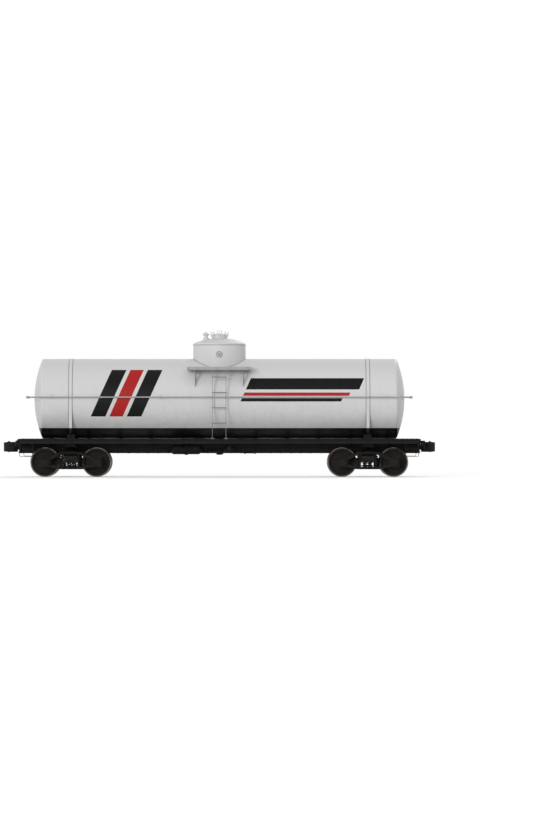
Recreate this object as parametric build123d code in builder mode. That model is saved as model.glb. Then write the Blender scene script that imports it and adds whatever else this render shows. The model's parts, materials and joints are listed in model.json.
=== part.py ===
from build123d import *

import os
from math import cos, radians, sin, sqrt, tan

os.makedirs("parts", exist_ok=True)

# Single-dome railway tank car in millimetres. +X points to the front end, +Y to the left side,
# +Z up. The origin is on the floor under the middle of the car, level with the wheel flanges' lowest points.

# Fits and clearances
seat_gap = 0.3
pin_gap = 0.3
slide_gap = 8

# Wheels, axles and trucks
tread_radius = 419
flange_height = 26
flange_width = 32
rim_width = 140
rim_depth = 62
back_to_back = 1353
plate_thickness = 26
hub_radius = 138
hub_length = 178
wheel_seat_radius = 97
axle_body_radius = 84
journal_radius = 76
journal_end = 1128
wheelbase = 1555
truck_centres = 8930

# Truck frame
frame_inner = 915
frame_outer = 1065
frame_top = 760
frame_bottom = 235
frame_top_flat = 300
frame_bottom_flat = 330
box_inner = 865
box_outer = 1150
box_half_length = 150
box_below_axle = 150
box_above_axle = 160
window_half_length = 205
window_bottom = 290
window_top = 690
frame_tip = 190
truck_bolster_half_width = 190
truck_bolster_bottom = 430
truck_bolster_top = 640
truck_bolster_end_bottom = 500
truck_bolster_reach = 1100
spring_radius = 62
spring_pitch = 150

# Centre plate and side bearings
centre_plate_radius = 165
centre_plate_bottom = 660
bowl_wall = 32
bowl_rim_top = 686
bearing_offset = 635
bearing_length = 220
bearing_width = 90
bearing_above_bowl = 14

# Centre sill
sill_bottom = 711
sill_top = 1004
sill_half_gap = 163.5
sill_web = 13
sill_flange = 90
sill_flange_thickness = 15
cover_plate = 10
striker_thickness = 50

# Body bolsters
wing_reach = 1134
wing_tip_bottom = 930
wing_root = 363
wing_top_width = 202
wing_foot_width = 360
tie_plate = 15

# Deck
end_overhang = 1575
deck_width = 3000
sill_depth = 92
edge_sill_width = 48
edge_sill_inset = 12
channel_web = 10
plank_thickness = 50
plank_gap = 6
running_board_width = 400
running_board_planks = 3
end_platform_length = 700
end_platform_planks = 5
bearer_width = 90

# Tank
tank_radius = 1205
tank_overhang = 820
head_dish_radius = 3100
head_knuckle_radius = 80

# Dome and its fittings
dome_radius = 790
dome_wall_height = 465
dome_dish_radius = 1952
dome_knuckle_radius = 50
plug_radius = 70
plug_below_wall_top = 329
plug_stand = 45
manway_radius = 203
manway_wall = 22
manway_sink = 38
manway_rise = 84
manway_well_floor = 144
cover_radius = 235
cover_thickness = 30
cover_crown = 14
bolt_circle = 250
bolt_radius = 10
bolt_count = 8
handle_rise = 136
lid_pin_reach = 50
lid_pin_rise = 15
lid_pin_radius = 10
valve_x = -405
valve_y = -150
valve_boss_radius = 90
valve_boss_rise = 20

# Platforms, ladders and rails
platform_length = 1918
platform_below_crest = 247
platform_depth = 90
platform_lip = 7
platform_dome_gap = 60
platform_plank = 32
platform_bar = 12
ladder_stand = 140
ladder_half_width = 204
rung_pitch = 460
rung_first = 475
rung_radius = 13
stile_width = 56
stile_thickness = 14
rail_above_axis = 49
rail_radius = 21
rail_head_gap = 200
rail_corner = 250

# Tank bands
band_width = 95
band_thickness = 10
band_lean = 7.7
band_rod_length = 410
band_rod_radius = 19

# Saddles and anchors
cradle_plate = 16
saddle_reach = 550
saddle_length = 240
anchor_x = 620
anchor_length = 300

# Couplers
coupler_height = 902
coupler_reach = 375
shank_width = 130
shank_depth = 170

# Train pipe
pipe_radius = 21
pipe_y = -320
pipe_z = 950

# Bottom outlet
outlet_radius = 125
outlet_flange_radius = 150
nozzle_radius = 70
nozzle_bottom = 690

# Values that follow from the driving dimensions
axle_height = tread_radius + flange_height
deck_bottom = sill_top + sill_depth
deck_top = deck_bottom + plank_thickness
tank_height = deck_top + tank_radius
sill_half_width = sill_half_gap + sill_flange
web_face = sill_half_gap + sill_web
truck_x = truck_centres / 2
half_wheelbase = wheelbase / 2
half_deck = truck_x + end_overhang
half_width = deck_width / 2
edge_sill_outer = half_width - edge_sill_inset
edge_sill_inner = edge_sill_outer - edge_sill_width
edge_sill_middle = (sill_top + deck_bottom) / 2
end_sill_inner = half_deck - edge_sill_width
sill_end = half_deck - striker_thickness
tank_tangent = truck_x + tank_overhang
fit_radius = tank_radius + seat_gap
head_centre = tank_tangent - sqrt(
    (head_dish_radius - head_knuckle_radius) ** 2 - (tank_radius - head_knuckle_radius) ** 2
)
head_end = head_centre + head_dish_radius
tank_crest = tank_height + tank_radius
dome_wall_top = tank_crest + dome_wall_height
dome_dish_centre = dome_wall_top - sqrt(dome_dish_radius**2 - dome_radius**2)
dome_top = dome_dish_centre + dome_dish_radius
plug_height = dome_wall_top - plug_below_wall_top
manway_seat = dome_top - manway_sink
manway_top = dome_top + manway_rise
manway_outer = manway_radius + manway_wall
lid_pin_y = cover_radius + lid_pin_reach
lid_pin_z = manway_top + lid_pin_rise
handle_top = manway_top + handle_rise
valve_seat = dome_dish_centre + sqrt(dome_dish_radius**2 - valve_x**2 - valve_y**2) + valve_boss_rise
platform_top = tank_crest - platform_below_crest
platform_underside = platform_top - platform_depth
ladder_offset = tank_radius + ladder_stand
stile_inner = ladder_offset - stile_width / 2
stile_outer = ladder_offset + stile_width / 2
platform_inner = dome_radius + platform_dome_gap
platform_outer = stile_outer + platform_lip
rail_height = tank_height + rail_above_axis
rail_end = head_end + rail_head_gap
pulling_face = half_deck + coupler_reach
axle_places = (
    ("1", truck_x + half_wheelbase),
    ("2", truck_x - half_wheelbase),
    ("3", -truck_x + half_wheelbase),
    ("4", -truck_x - half_wheelbase),
)

ends = (("front", 1), ("rear", -1))
sides = (("left", 1), ("right", -1))

tank_axis_plane = Plane(origin=(0, 0, tank_height), x_dir=(1, 0, 0), z_dir=(0, -1, 0))


def write(piece, label):
    """Label a finished piece and write its file."""
    piece.part.label = label
    export_step(piece.part, f"parts/{label}.step")


def cut_tank_shape():
    """Cut the tank's own shell, with the seating gap, out of the piece being made."""
    with Locations(Location((0, 0, tank_height), (0, 90, 0))):
        Cylinder(fit_radius, 2 * tank_tangent, mode=Mode.SUBTRACT)


def tank_side(height):
    """How far the tank's shell stands from the middle plane at a height."""
    return sqrt(fit_radius**2 - (height - tank_height) ** 2)


def block(x_range, y_range, z_range, mode=Mode.ADD):
    """A block between two corners, given as its ranges along the three axes."""
    centre = [(low + high) / 2 for low, high in (x_range, y_range, z_range)]
    size = [high - low for low, high in (x_range, y_range, z_range)]
    with Locations(tuple(centre)):
        Box(*size, mode=mode)


def channel(centre, width, depth, back):
    """A channel's section in the sketch being made, its back towards the sign given along the first axis."""
    across, up = centre
    with Locations(centre):
        Rectangle(width, depth)
    with Locations((across - back * channel_web, up)):
        Rectangle(width, depth - 2 * channel_web, mode=Mode.SUBTRACT)


def cradle(middle, length, reach, ribs):
    """A cradle under the tank: a curved plate, a foot plate, a web across the car and ribs along it."""
    with Locations(Location((middle, 0, tank_height), (0, 90, 0))):
        Cylinder(fit_radius + cradle_plate, length)
    with Locations((middle, 0, (sill_top + tank_height) / 2)):
        Box(length, 2 * reach, tank_height - sill_top, mode=Mode.INTERSECT)
    ends_along = (middle - length / 2, middle + length / 2)
    block(ends_along, (-reach, reach), (sill_top, sill_top + cradle_plate))
    block((middle - cradle_plate / 2, middle + cradle_plate / 2), (-reach, reach), (sill_top, tank_height))
    for rib in ribs:
        block(ends_along, (rib - cradle_plate / 2, rib + cradle_plate / 2), (sill_top, tank_height))
    cut_tank_shape()
    mirror(about=Plane.YZ)


# Tank barrel with dished heads
with BuildPart() as tank:
    with BuildSketch(tank_axis_plane):
        with BuildLine():
            crest = Line((0, tank_radius), (tank_tangent, tank_radius))
            dish_start = (tank_radius - head_knuckle_radius) / (head_dish_radius - head_knuckle_radius)
            dish_point = (
                head_centre + head_dish_radius * sqrt(1 - dish_start**2),
                head_dish_radius * dish_start,
            )
            knuckle = TangentArc(crest @ 1, dish_point, tangent=crest % 1)
            TangentArc(knuckle @ 1, (head_end, 0), tangent=knuckle % 1)
            Polyline((head_end, 0), (0, 0), (0, tank_radius))
        make_face()
    revolve(axis=Axis((0, 0, tank_height), (1, 0, 0)))
    mirror(about=Plane.YZ)
write(tank, "tank")

# Dome shell on the tank's crest, with a well for the manway
with BuildPart() as dome:
    with BuildSketch(Plane.XZ):
        with BuildLine():
            wall = Polyline((0, tank_height), (dome_radius, tank_height), (dome_radius, dome_wall_top))
            RadiusArc(wall @ 1, (0, dome_top), -dome_dish_radius)
            Line((0, dome_top), (0, tank_height))
        make_face()
    revolve(axis=Axis.Z)
    cut_tank_shape()
    rim_edge = dome.edges().filter_by(GeomType.CIRCLE).filter_by(
        lambda edge: abs(edge.center().Z - dome_wall_top) < 1
    )
    fillet(rim_edge, dome_knuckle_radius)
    with Locations((valve_x, valve_y, (dome_wall_top + valve_seat) / 2)):
        Cylinder(valve_boss_radius, valve_seat - dome_wall_top)
    with BuildSketch(Plane.XZ.offset(dome_radius - plug_radius / 2)):
        with Locations((0, plug_height)):
            Circle(plug_radius)
    extrude(amount=plug_radius / 2 + plug_stand)
    with BuildSketch(Plane.XY.offset(manway_seat)):
        Circle(manway_radius + manway_wall + seat_gap)
    extrude(amount=dome_top - manway_seat + 1, mode=Mode.SUBTRACT)
    with BuildSketch(Plane.XY.offset(tank_crest + manway_well_floor)):
        Circle(manway_radius)
    extrude(amount=manway_seat - tank_crest - manway_well_floor, mode=Mode.SUBTRACT)
write(dome, "dome")

# Manway ring with the lid's hinge lugs and the bolts' lugs
lid_eye_half = 24
lid_lug_width = 18
lid_eye_radius = 20
lug_root = manway_radius + manway_wall / 4
lug_root_depth = 60
lug_chin = 30
lug_shelf = 12
pin_head = 10
bolt_bottom = manway_top - 32
bolt_lug_depth = 26
bolt_angles = [90 + 360 / bolt_count * step for step in range(1, bolt_count)]

with BuildPart() as manway_ring:
    with BuildSketch(Plane.XY.offset(manway_seat)):
        Circle(manway_outer)
    extrude(amount=manway_top - manway_seat)
    for angle in bolt_angles:
        with Locations(Location((0, 0, bolt_bottom - bolt_lug_depth / 2), (0, 0, angle))):
            with Locations((bolt_circle - bolt_lug_depth, 0, 0)):
                Box(2 * bolt_lug_depth, 2 * bolt_lug_depth, bolt_lug_depth)
    for side in (1, -1):
        with BuildSketch(Plane.YZ.offset(side * (lid_eye_half + pin_gap + lid_lug_width / 2))):
            with BuildLine():
                FilletPolyline(
                    (lug_root, manway_top - lug_root_depth),
                    (lid_pin_y + lid_eye_radius, manway_top - lug_chin),
                    (lid_pin_y + lid_eye_radius, lid_pin_z + lid_eye_radius),
                    (lid_pin_y - lid_eye_radius, lid_pin_z + lid_eye_radius),
                    (lid_pin_y - lid_eye_radius - lug_shelf, manway_top - lug_shelf),
                    (lug_root, manway_top - lug_shelf),
                    close=True,
                    radius=(4, 12, 12, 12, 4, 4),
                )
            make_face()
        extrude(amount=lid_lug_width / 2, both=True)
    with BuildSketch(Plane.XY.offset(manway_seat)):
        Circle(manway_radius)
    extrude(amount=manway_top - manway_seat, mode=Mode.SUBTRACT)
    with Locations(Location((0, lid_pin_y, lid_pin_z), (0, 90, 0))):
        Cylinder(lid_pin_radius, 2 * (lid_eye_half + lid_lug_width + pin_head))
write(manway_ring, "manway_ring")

# Hinged manway cover with its bolts and handle
handle_half = 70
handle_rod = 9
bolt_ear_length = 62
bolt_ear_width = 44
shank_in_eye = 4
cover_edge = cover_thickness - 8
cover_rise = cover_thickness + cover_crown - cover_edge
crown_radius = (cover_radius**2 + cover_rise**2) / (2 * cover_rise)
crown_foot = manway_top + cover_edge
bolt_nut_radius = 17
bolt_eye_radius = 24
bolt_eye_height = manway_top + 80
bolt_shank_top = bolt_eye_height - bolt_eye_radius + shank_in_eye
hinge_strap_root = cover_radius - 60
with BuildPart() as manway_cover:
    with BuildSketch(Plane.XZ):
        with BuildLine():
            rim = Polyline((0, manway_top), (cover_radius, manway_top), (cover_radius, crown_foot))
            RadiusArc(rim @ 1, (0, crown_foot + cover_rise), -crown_radius)
            Line((0, crown_foot + cover_rise), (0, manway_top))
        make_face()
    revolve(axis=Axis.Z)
    for angle in bolt_angles:
        with Locations(Location((0, 0, 0), (0, 0, angle))):
            with Locations((cover_radius, 0, manway_top + cover_thickness / 3)):
                Box(bolt_ear_length, bolt_ear_width, 2 * cover_thickness / 3)
            with Locations((bolt_circle, 0, (bolt_bottom + bolt_shank_top) / 2)):
                Cylinder(bolt_radius, bolt_shank_top - bolt_bottom)
            with Locations((bolt_circle, 0, manway_top + cover_thickness)):
                Cylinder(bolt_nut_radius, cover_thickness)
            with Locations(Location((bolt_circle, 0, bolt_eye_height), (90, 0, 0))):
                Cylinder(bolt_eye_radius, bolt_radius)
                Cylinder(bolt_eye_radius - bolt_radius, bolt_radius, mode=Mode.SUBTRACT)
    block(
        (-lid_eye_half, lid_eye_half),
        (hinge_strap_root, lid_pin_y),
        (manway_top + cover_thickness / 6, manway_top + cover_thickness),
    )
    with Locations(Location((0, lid_pin_y, lid_pin_z), (0, 90, 0))):
        Cylinder(lid_eye_radius, 2 * lid_eye_half)
        Cylinder(lid_pin_radius + pin_gap, 2 * lid_eye_half, mode=Mode.SUBTRACT)
    for side in (1, -1):
        block(
            (side * handle_half - handle_rod, side * handle_half + handle_rod),
            (-handle_rod, handle_rod),
            (manway_top + cover_thickness, handle_top),
        )
    block((-handle_half, handle_half), (-handle_rod, handle_rod), (handle_top - 2 * handle_rod, handle_top))
write(manway_cover, "manway_cover")

# Safety valve on its boss: foot flange, waist and a bell that opens upwards under a round cap
valve_foot_radius = 88
valve_foot_depth = 20
valve_waist_radius = 57
valve_waist_height = 60
valve_bell_radius = 105
valve_bell_height = 128
valve_cap_radius = 46
valve_height = 188
with BuildPart() as safety_valve:
    with BuildSketch(Plane(origin=(valve_x, valve_y, valve_seat), x_dir=(1, 0, 0), z_dir=(0, -1, 0))):
        with BuildLine():
            foot = Polyline(
                (0, 0),
                (valve_foot_radius, 0),
                (valve_foot_radius, valve_foot_depth),
                (valve_waist_radius, valve_foot_depth),
                (valve_waist_radius, valve_waist_height),
            )
            bell = TangentArc(foot @ 1, (valve_bell_radius, valve_bell_height), tangent=(0, 1))
            rim = Line(bell @ 1, (valve_bell_radius, valve_bell_height + valve_foot_depth))
            cap = Line(rim @ 1, (valve_cap_radius, valve_height))
            Polyline(cap @ 1, (0, valve_height), (0, 0))
        make_face()
    revolve(axis=Axis((valve_x, valve_y, 0), (0, 0, 1)))
write(safety_valve, "safety_valve")

# Dome platforms with their brackets, one each side
bracket_x = 720
bracket_drop = 500
bracket_toe = 30
bracket_rim = 60
bracket_hole_corner = 20
platform_planks = 3
platform_tip = (platform_length - platform_bar) / 2
bracket_foot = platform_underside - bracket_drop
bracket_root = tank_side(platform_underside) - bracket_rim
foot_root = tank_side(bracket_foot)
plank_span = (platform_outer - platform_inner + plank_gap) / platform_planks
for name, side in sides:
    with BuildPart() as dome_platform:
        for row in range(platform_planks):
            inner = platform_inner + row * plank_span
            outer = inner + plank_span - plank_gap
            block(
                (-platform_length / 2, platform_length / 2),
                sorted((side * inner, side * outer)),
                (platform_top - platform_plank, platform_top),
            )
        for edge in (platform_inner, platform_outer - platform_bar):
            block(
                (-platform_length / 2, platform_length / 2),
                sorted((side * edge, side * (edge + platform_bar))),
                (platform_underside, platform_top),
            )
        for x in (-platform_tip, -bracket_x, 0, bracket_x, platform_tip):
            block(
                (x - platform_bar / 2, x + platform_bar / 2),
                sorted((side * platform_inner, side * platform_outer)),
                (platform_underside, platform_top - platform_plank / 2),
            )
        for x in (-bracket_x, bracket_x):
            with BuildSketch(Plane.YZ.offset(x)):
                with BuildLine():
                    Polyline(
                        (side * bracket_root, platform_underside),
                        (side * platform_outer, platform_underside),
                        (side * platform_outer, platform_underside - bracket_rim),
                        (side * (foot_root + bracket_toe), bracket_foot),
                        (side * bracket_root, bracket_foot),
                        close=True,
                    )
                make_face()
            extrude(amount=platform_bar / 2, both=True)
            with BuildSketch(Plane.YZ.offset(x)):
                with BuildLine():
                    FilletPolyline(
                        (side * (bracket_root + 2.5 * bracket_rim), platform_underside - bracket_rim),
                        (side * (platform_outer - 1.8 * bracket_rim), platform_underside - bracket_rim),
                        (side * (foot_root + bracket_toe), bracket_foot + 3.2 * bracket_rim),
                        close=True,
                        radius=bracket_hole_corner,
                    )
                make_face()
            extrude(amount=platform_bar, both=True, mode=Mode.SUBTRACT)
        cut_tank_shape()
    write(dome_platform, f"dome_platform_{name}")

# Ladders up to the dome platforms
rung_heights = []
while deck_top + rung_first + len(rung_heights) * rung_pitch < platform_underside - rung_pitch / 3:
    rung_heights.append(deck_top + rung_first + len(rung_heights) * rung_pitch)
stile_foot_half = 45
with BuildPart() as ladder_rails:
    for name, side in sides:
        for x in (-ladder_half_width, ladder_half_width):
            block(
                (x - stile_thickness / 2, x + stile_thickness / 2),
                sorted((side * stile_inner, side * stile_outer)),
                (deck_top, platform_underside),
            )
            block(
                (x - stile_foot_half, x + stile_foot_half),
                sorted((side * stile_inner, side * stile_outer)),
                (deck_top, deck_top + stile_thickness),
            )
        with Locations(Location((0, side * ladder_offset, rail_height), (0, 90, 0))):
            Cylinder(rail_radius + seat_gap, 2 * ladder_half_width + 60, mode=Mode.SUBTRACT)
write(ladder_rails, "ladder_rails")

with BuildPart() as ladder_rungs:
    for name, side in sides:
        for height in rung_heights:
            with Locations(Location((0, side * ladder_offset, height), (0, 90, 0))):
                Cylinder(rung_radius, 2 * ladder_half_width - stile_thickness)
write(ladder_rungs, "ladder_rungs")

# Handrails along the sides and round the ends
rail_side_end = rail_end - rail_corner
with BuildPart() as handrail_sides:
    for name, side in sides:
        with BuildSketch(Plane.YZ):
            with Locations((side * ladder_offset, rail_height)):
                Circle(rail_radius)
        extrude(amount=rail_side_end, both=True)
write(handrail_sides, "handrail_sides")

with BuildPart() as handrail_ends:
    for name, end in ends:
        with BuildLine(Plane.XY.offset(rail_height)) as route:
            FilletPolyline(
                (end * rail_side_end, -ladder_offset),
                (end * rail_end, -ladder_offset),
                (end * rail_end, ladder_offset),
                (end * rail_side_end, ladder_offset),
                radius=rail_corner - 0.01,
            )
        with BuildSketch(Plane(origin=route.line @ 0, z_dir=route.line % 0)):
            Circle(rail_radius)
        sweep(path=route.wires()[0])
write(handrail_ends, "handrail_ends")

# Brackets that hold the handrails to the tank
rail_bracket_places = [share * (tank_tangent - rail_corner) for share in (-1, -0.7, -0.35, 0.35, 0.7, 1)]
end_bracket_y = 620
bracket_plate = 12
bracket_eye = 40
bracket_bar = 36
bracket_sink = 60
with BuildPart() as handrail_brackets:
    for name, end in ends:
        for y in (-end_bracket_y, end_bracket_y):
            with BuildSketch(Plane.XZ.offset(-y)):
                with Locations((end * rail_end, rail_height)):
                    Circle(bracket_eye)
                with Locations((end * (head_end + rail_end - bracket_sink) / 2, rail_height)):
                    Rectangle(rail_end - head_end + bracket_sink, bracket_bar)
                with Locations((end * rail_end, rail_height)):
                    Circle(rail_radius + seat_gap, mode=Mode.SUBTRACT)
            extrude(amount=bracket_plate / 2, both=True)
    for name, end in ends:
        with Locations((end * head_centre, 0, tank_height)):
            Sphere(head_dish_radius + seat_gap, mode=Mode.SUBTRACT)
    for name, side in sides:
        for x in rail_bracket_places:
            with BuildSketch(Plane.YZ.offset(x)):
                with Locations((side * ladder_offset, rail_height)):
                    Circle(bracket_eye)
                with Locations((side * (tank_radius + ladder_offset) / 2, rail_height)):
                    Rectangle(ladder_offset - tank_radius + bracket_sink, bracket_bar)
                with Locations((side * ladder_offset, rail_height)):
                    Circle(rail_radius + seat_gap, mode=Mode.SUBTRACT)
            extrude(amount=bracket_plate / 2, both=True)
    cut_tank_shape()
write(handrail_brackets, "handrail_brackets")

# Bands that strap the tank down, with rods to the body bolsters
band_mid_radius = fit_radius + band_thickness / 2
lean = radians(band_lean)
leave_y = band_mid_radius * cos(lean)
leave_z = tank_height - band_mid_radius * sin(lean)
band_strap_end = sill_top + band_rod_length
strap_end_y = leave_y - (leave_z - band_strap_end) * tan(lean)
turnbuckle = 64
rod_past_end = 30
with BuildPart() as tank_bands:
    for name, end in ends:
        with BuildSketch(Plane.YZ.offset(end * truck_x)):
            with BuildLine():
                Line((strap_end_y, band_strap_end), (leave_y, leave_z))
                ThreePointArc((leave_y, leave_z), (0, tank_height + band_mid_radius), (-leave_y, leave_z))
                Line((-leave_y, leave_z), (-strap_end_y, band_strap_end))
            trace(line_width=band_thickness)
        extrude(amount=band_width / 2, both=True)
        for name, side in sides:
            with BuildSketch(
                Plane(
                    origin=(end * truck_x, side * strap_end_y, band_strap_end),
                    z_dir=(0, -side * sin(lean), -cos(lean)),
                )
            ):
                Rectangle(turnbuckle, turnbuckle)
            extrude(amount=turnbuckle)
            with BuildSketch(
                Plane(
                    origin=(end * truck_x, side * strap_end_y, band_strap_end),
                    z_dir=(0, -side * sin(lean), -cos(lean)),
                )
            ):
                Circle(band_rod_radius)
            extrude(amount=(band_strap_end - sill_top) / cos(lean) + rod_past_end)
    block((-half_deck, half_deck), (-half_width, half_width), (0, sill_top), mode=Mode.SUBTRACT)
write(tank_bands, "tank_bands")

# Saddles that carry the tank on the body bolsters, with ribs over the centre sill's webs
saddle_edge = saddle_reach - cradle_plate / 2
with BuildPart() as tank_saddles:
    cradle(truck_x, saddle_length, saddle_reach, (-saddle_edge, -sill_half_gap, sill_half_gap, saddle_edge))
write(tank_saddles, "tank_saddles")

# Anchors that hold the tank lengthwise at the middle of the centre sill
anchor_edge = sill_half_width - cradle_plate / 2
with BuildPart() as tank_anchors:
    cradle(anchor_x, anchor_length, sill_half_width, (-anchor_edge, 0, anchor_edge))
write(tank_anchors, "tank_anchors")

# Centre sill: two channels back to back under one cover plate
flange_heights = (sill_bottom + sill_flange_thickness / 2, sill_top - cover_plate - sill_flange_thickness / 2)
with BuildPart() as centre_sill:
    with BuildSketch(Plane.YZ):
        with Locations((0, sill_top - cover_plate / 2)):
            Rectangle(2 * sill_half_width, cover_plate)
        for name, side in sides:
            with Locations((side * (sill_half_gap + sill_web / 2), (sill_top + sill_bottom) / 2)):
                Rectangle(sill_web, sill_top - sill_bottom)
            for height in flange_heights:
                with Locations((side * (sill_half_gap + sill_flange / 2), height)):
                    Rectangle(sill_flange, sill_flange_thickness)
    extrude(amount=sill_end, both=True)
    with BuildSketch(Plane.XY.offset(sill_top - cover_plate)):
        Circle(outlet_radius + slide_gap)
    extrude(amount=cover_plate, mode=Mode.SUBTRACT)
write(centre_sill, "centre_sill")

# Body bolsters: tapered wings each side of the centre sill, a tie plate, centre plate and side bearings
tie_bottom = sill_bottom - tie_plate
wing_slope = (wing_tip_bottom - sill_bottom) / (wing_reach - wing_root)
bearing_inner = bearing_offset - bearing_width / 2
bearing_outer = bearing_offset + bearing_width / 2
bearing_height = bowl_rim_top + bearing_above_bowl
wing_web = 90
for name, end in ends:
    with BuildPart() as body_bolster:
        for side_name, side in sides:
            with BuildSketch(Plane.YZ.offset(end * truck_x)):
                with BuildLine():
                    Polyline(
                        (side * (sill_half_width + seat_gap), sill_top),
                        (side * wing_reach, sill_top),
                        (side * wing_reach, wing_tip_bottom),
                        (side * wing_root, sill_bottom),
                        (side * (sill_half_width + seat_gap), sill_bottom),
                        close=True,
                    )
                make_face()
            extrude(amount=wing_web / 2, both=True)
            with BuildSketch(Plane.YZ.offset(end * truck_x)):
                with BuildLine():
                    Polyline(
                        (side * (sill_half_width + seat_gap), sill_bottom),
                        (side * wing_root, sill_bottom),
                        (side * wing_reach, wing_tip_bottom),
                        (side * wing_reach, wing_tip_bottom - tie_plate),
                        (side * wing_root, tie_bottom),
                        (side * (sill_half_width + seat_gap), tie_bottom),
                        close=True,
                    )
                make_face()
            extrude(amount=wing_foot_width / 2, both=True)
            block(
                (end * truck_x - wing_top_width / 2, end * truck_x + wing_top_width / 2),
                sorted((side * (sill_half_width + seat_gap), side * wing_reach)),
                (sill_top - tie_plate, sill_top),
            )
            for rib in (wing_root + 60, bearing_offset, wing_reach - tie_plate):
                with BuildSketch(Plane.XZ.offset(-side * rib)):
                    foot = sill_bottom + (rib - wing_root) * wing_slope
                    with BuildLine():
                        Polyline(
                            (end * truck_x - wing_top_width / 2, sill_top),
                            (end * truck_x + wing_top_width / 2, sill_top),
                            (end * truck_x + wing_foot_width / 2, foot),
                            (end * truck_x - wing_foot_width / 2, foot),
                            close=True,
                        )
                    make_face()
                extrude(amount=tie_plate / 2, both=True)
            block(
                (end * truck_x - bearing_length / 2, end * truck_x + bearing_length / 2),
                sorted((side * bearing_inner, side * bearing_outer)),
                (bearing_height, sill_bottom + (bearing_offset - wing_root) * wing_slope),
            )
        block(
            (end * truck_x - wing_foot_width / 2, end * truck_x + wing_foot_width / 2),
            (-wing_root, wing_root),
            (tie_bottom, sill_bottom),
        )
        with BuildSketch(Plane.XY.offset(centre_plate_bottom)):
            with Locations((end * truck_x, 0)):
                Circle(centre_plate_radius)
        extrude(amount=tie_bottom - centre_plate_bottom)
        with BuildSketch(Plane.YZ.offset(end * truck_x)):
            with Locations((pipe_y, pipe_z)):
                Circle(pipe_radius + slide_gap)
        extrude(amount=wing_foot_width, both=True, mode=Mode.SUBTRACT)
    write(body_bolster, f"body_bolster_{name}")

# Side sills and end sills round the deck's edge: channels with their backs outwards
with BuildPart() as side_sills:
    with BuildSketch(Plane.YZ):
        for name, side in sides:
            place = (side * (edge_sill_outer - edge_sill_width / 2), edge_sill_middle)
            channel(place, edge_sill_width, sill_depth, side)
    extrude(amount=end_sill_inner, both=True)
write(side_sills, "side_sills")

with BuildPart() as end_sills:
    with BuildSketch(Plane.XZ):
        for name, end in ends:
            place = (end * (half_deck - edge_sill_width / 2), edge_sill_middle)
            channel(place, edge_sill_width, sill_depth, end)
    extrude(amount=edge_sill_outer, both=True)
write(end_sills, "end_sills")

# Cross bearers from side sill to side sill: channels that lie on the centre sill
bearers_between = 4
bearer_start = 1100
bearer_clear = 515
bearer_step = (truck_x - bearer_clear - bearer_start) / (bearers_between - 1)
bearer_places = [bearer_start + bearer_step * step for step in range(bearers_between)]
bearer_places += [truck_x + bearer_clear + bearer_width, half_deck - bearer_clear]
with BuildPart() as cross_bearers:
    with BuildSketch(Plane.XZ):
        for x in bearer_places:
            for name, end in ends:
                channel((end * x, edge_sill_middle), bearer_width, sill_depth, end)
    extrude(amount=edge_sill_inner, both=True)
write(cross_bearers, "cross_bearers")

# Running boards beside the tank
board_pitch = (running_board_width + plank_gap) / running_board_planks
board_end = half_deck - end_platform_length
with BuildPart() as running_boards:
    for name, side in sides:
        for row in range(running_board_planks):
            inner = half_width - running_board_width + row * board_pitch
            block(
                (-board_end + plank_gap, board_end - plank_gap),
                sorted((side * inner, side * (inner + board_pitch - plank_gap))),
                (deck_bottom, deck_top),
            )
write(running_boards, "running_boards")

# Planked platforms at both ends
end_pitch = (end_platform_length + plank_gap) / end_platform_planks
with BuildPart() as end_platforms:
    for name, end in ends:
        for row in range(end_platform_planks):
            near = board_end + row * end_pitch
            block(
                sorted((end * near, end * (near + end_pitch - plank_gap))),
                (-half_width, half_width),
                (deck_bottom, deck_top),
            )
write(end_platforms, "end_platforms")

# Draft gears in the centre sill with the strikers at its ends
gear_length = 620
gear_end = half_deck - 480
gear_inset = 20
follower_plate = 57
spring_box_radius = 120
striker_opening = 12
striker_corner = 24
mouth_width = shank_width + 2 * striker_opening
mouth_depth = shank_depth + 2 * striker_opening
mouth_corner = 10
mouth_flare = 10
with BuildPart() as draft_gears:
    for name, end in ends:
        for near in (gear_end - gear_length, gear_end - follower_plate):
            block(
                sorted((end * near, end * (near + follower_plate))),
                (-sill_half_gap + seat_gap, sill_half_gap - seat_gap),
                (sill_bottom + gear_inset, sill_top - cover_plate - seat_gap),
            )
        with BuildSketch(Plane.YZ.offset(end * (gear_end - gear_length))):
            with Locations((0, (sill_bottom + gear_inset + sill_top - cover_plate) / 2)):
                Circle(spring_box_radius)
        extrude(amount=end * gear_length)
write(draft_gears, "draft_gears")

with BuildPart() as strikers:
    for name, end in ends:
        with BuildSketch(Plane.YZ.offset(end * sill_end)):
            with Locations((0, (sill_bottom + sill_top) / 2)):
                RectangleRounded(2 * sill_half_width, sill_top - sill_bottom, striker_corner)
            with Locations((0, coupler_height)):
                RectangleRounded(mouth_width, mouth_depth, mouth_corner, mode=Mode.SUBTRACT)
        extrude(amount=end * striker_thickness)
        for flare in (0, mouth_flare):
            with BuildSketch(Plane.YZ.offset(end * (half_deck - mouth_flare + flare))):
                with Locations((0, coupler_height)):
                    RectangleRounded(mouth_width + 2 * flare, mouth_depth + 2 * flare, mouth_corner + flare)
        loft(mode=Mode.SUBTRACT)
write(strikers, "strikers")

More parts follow.
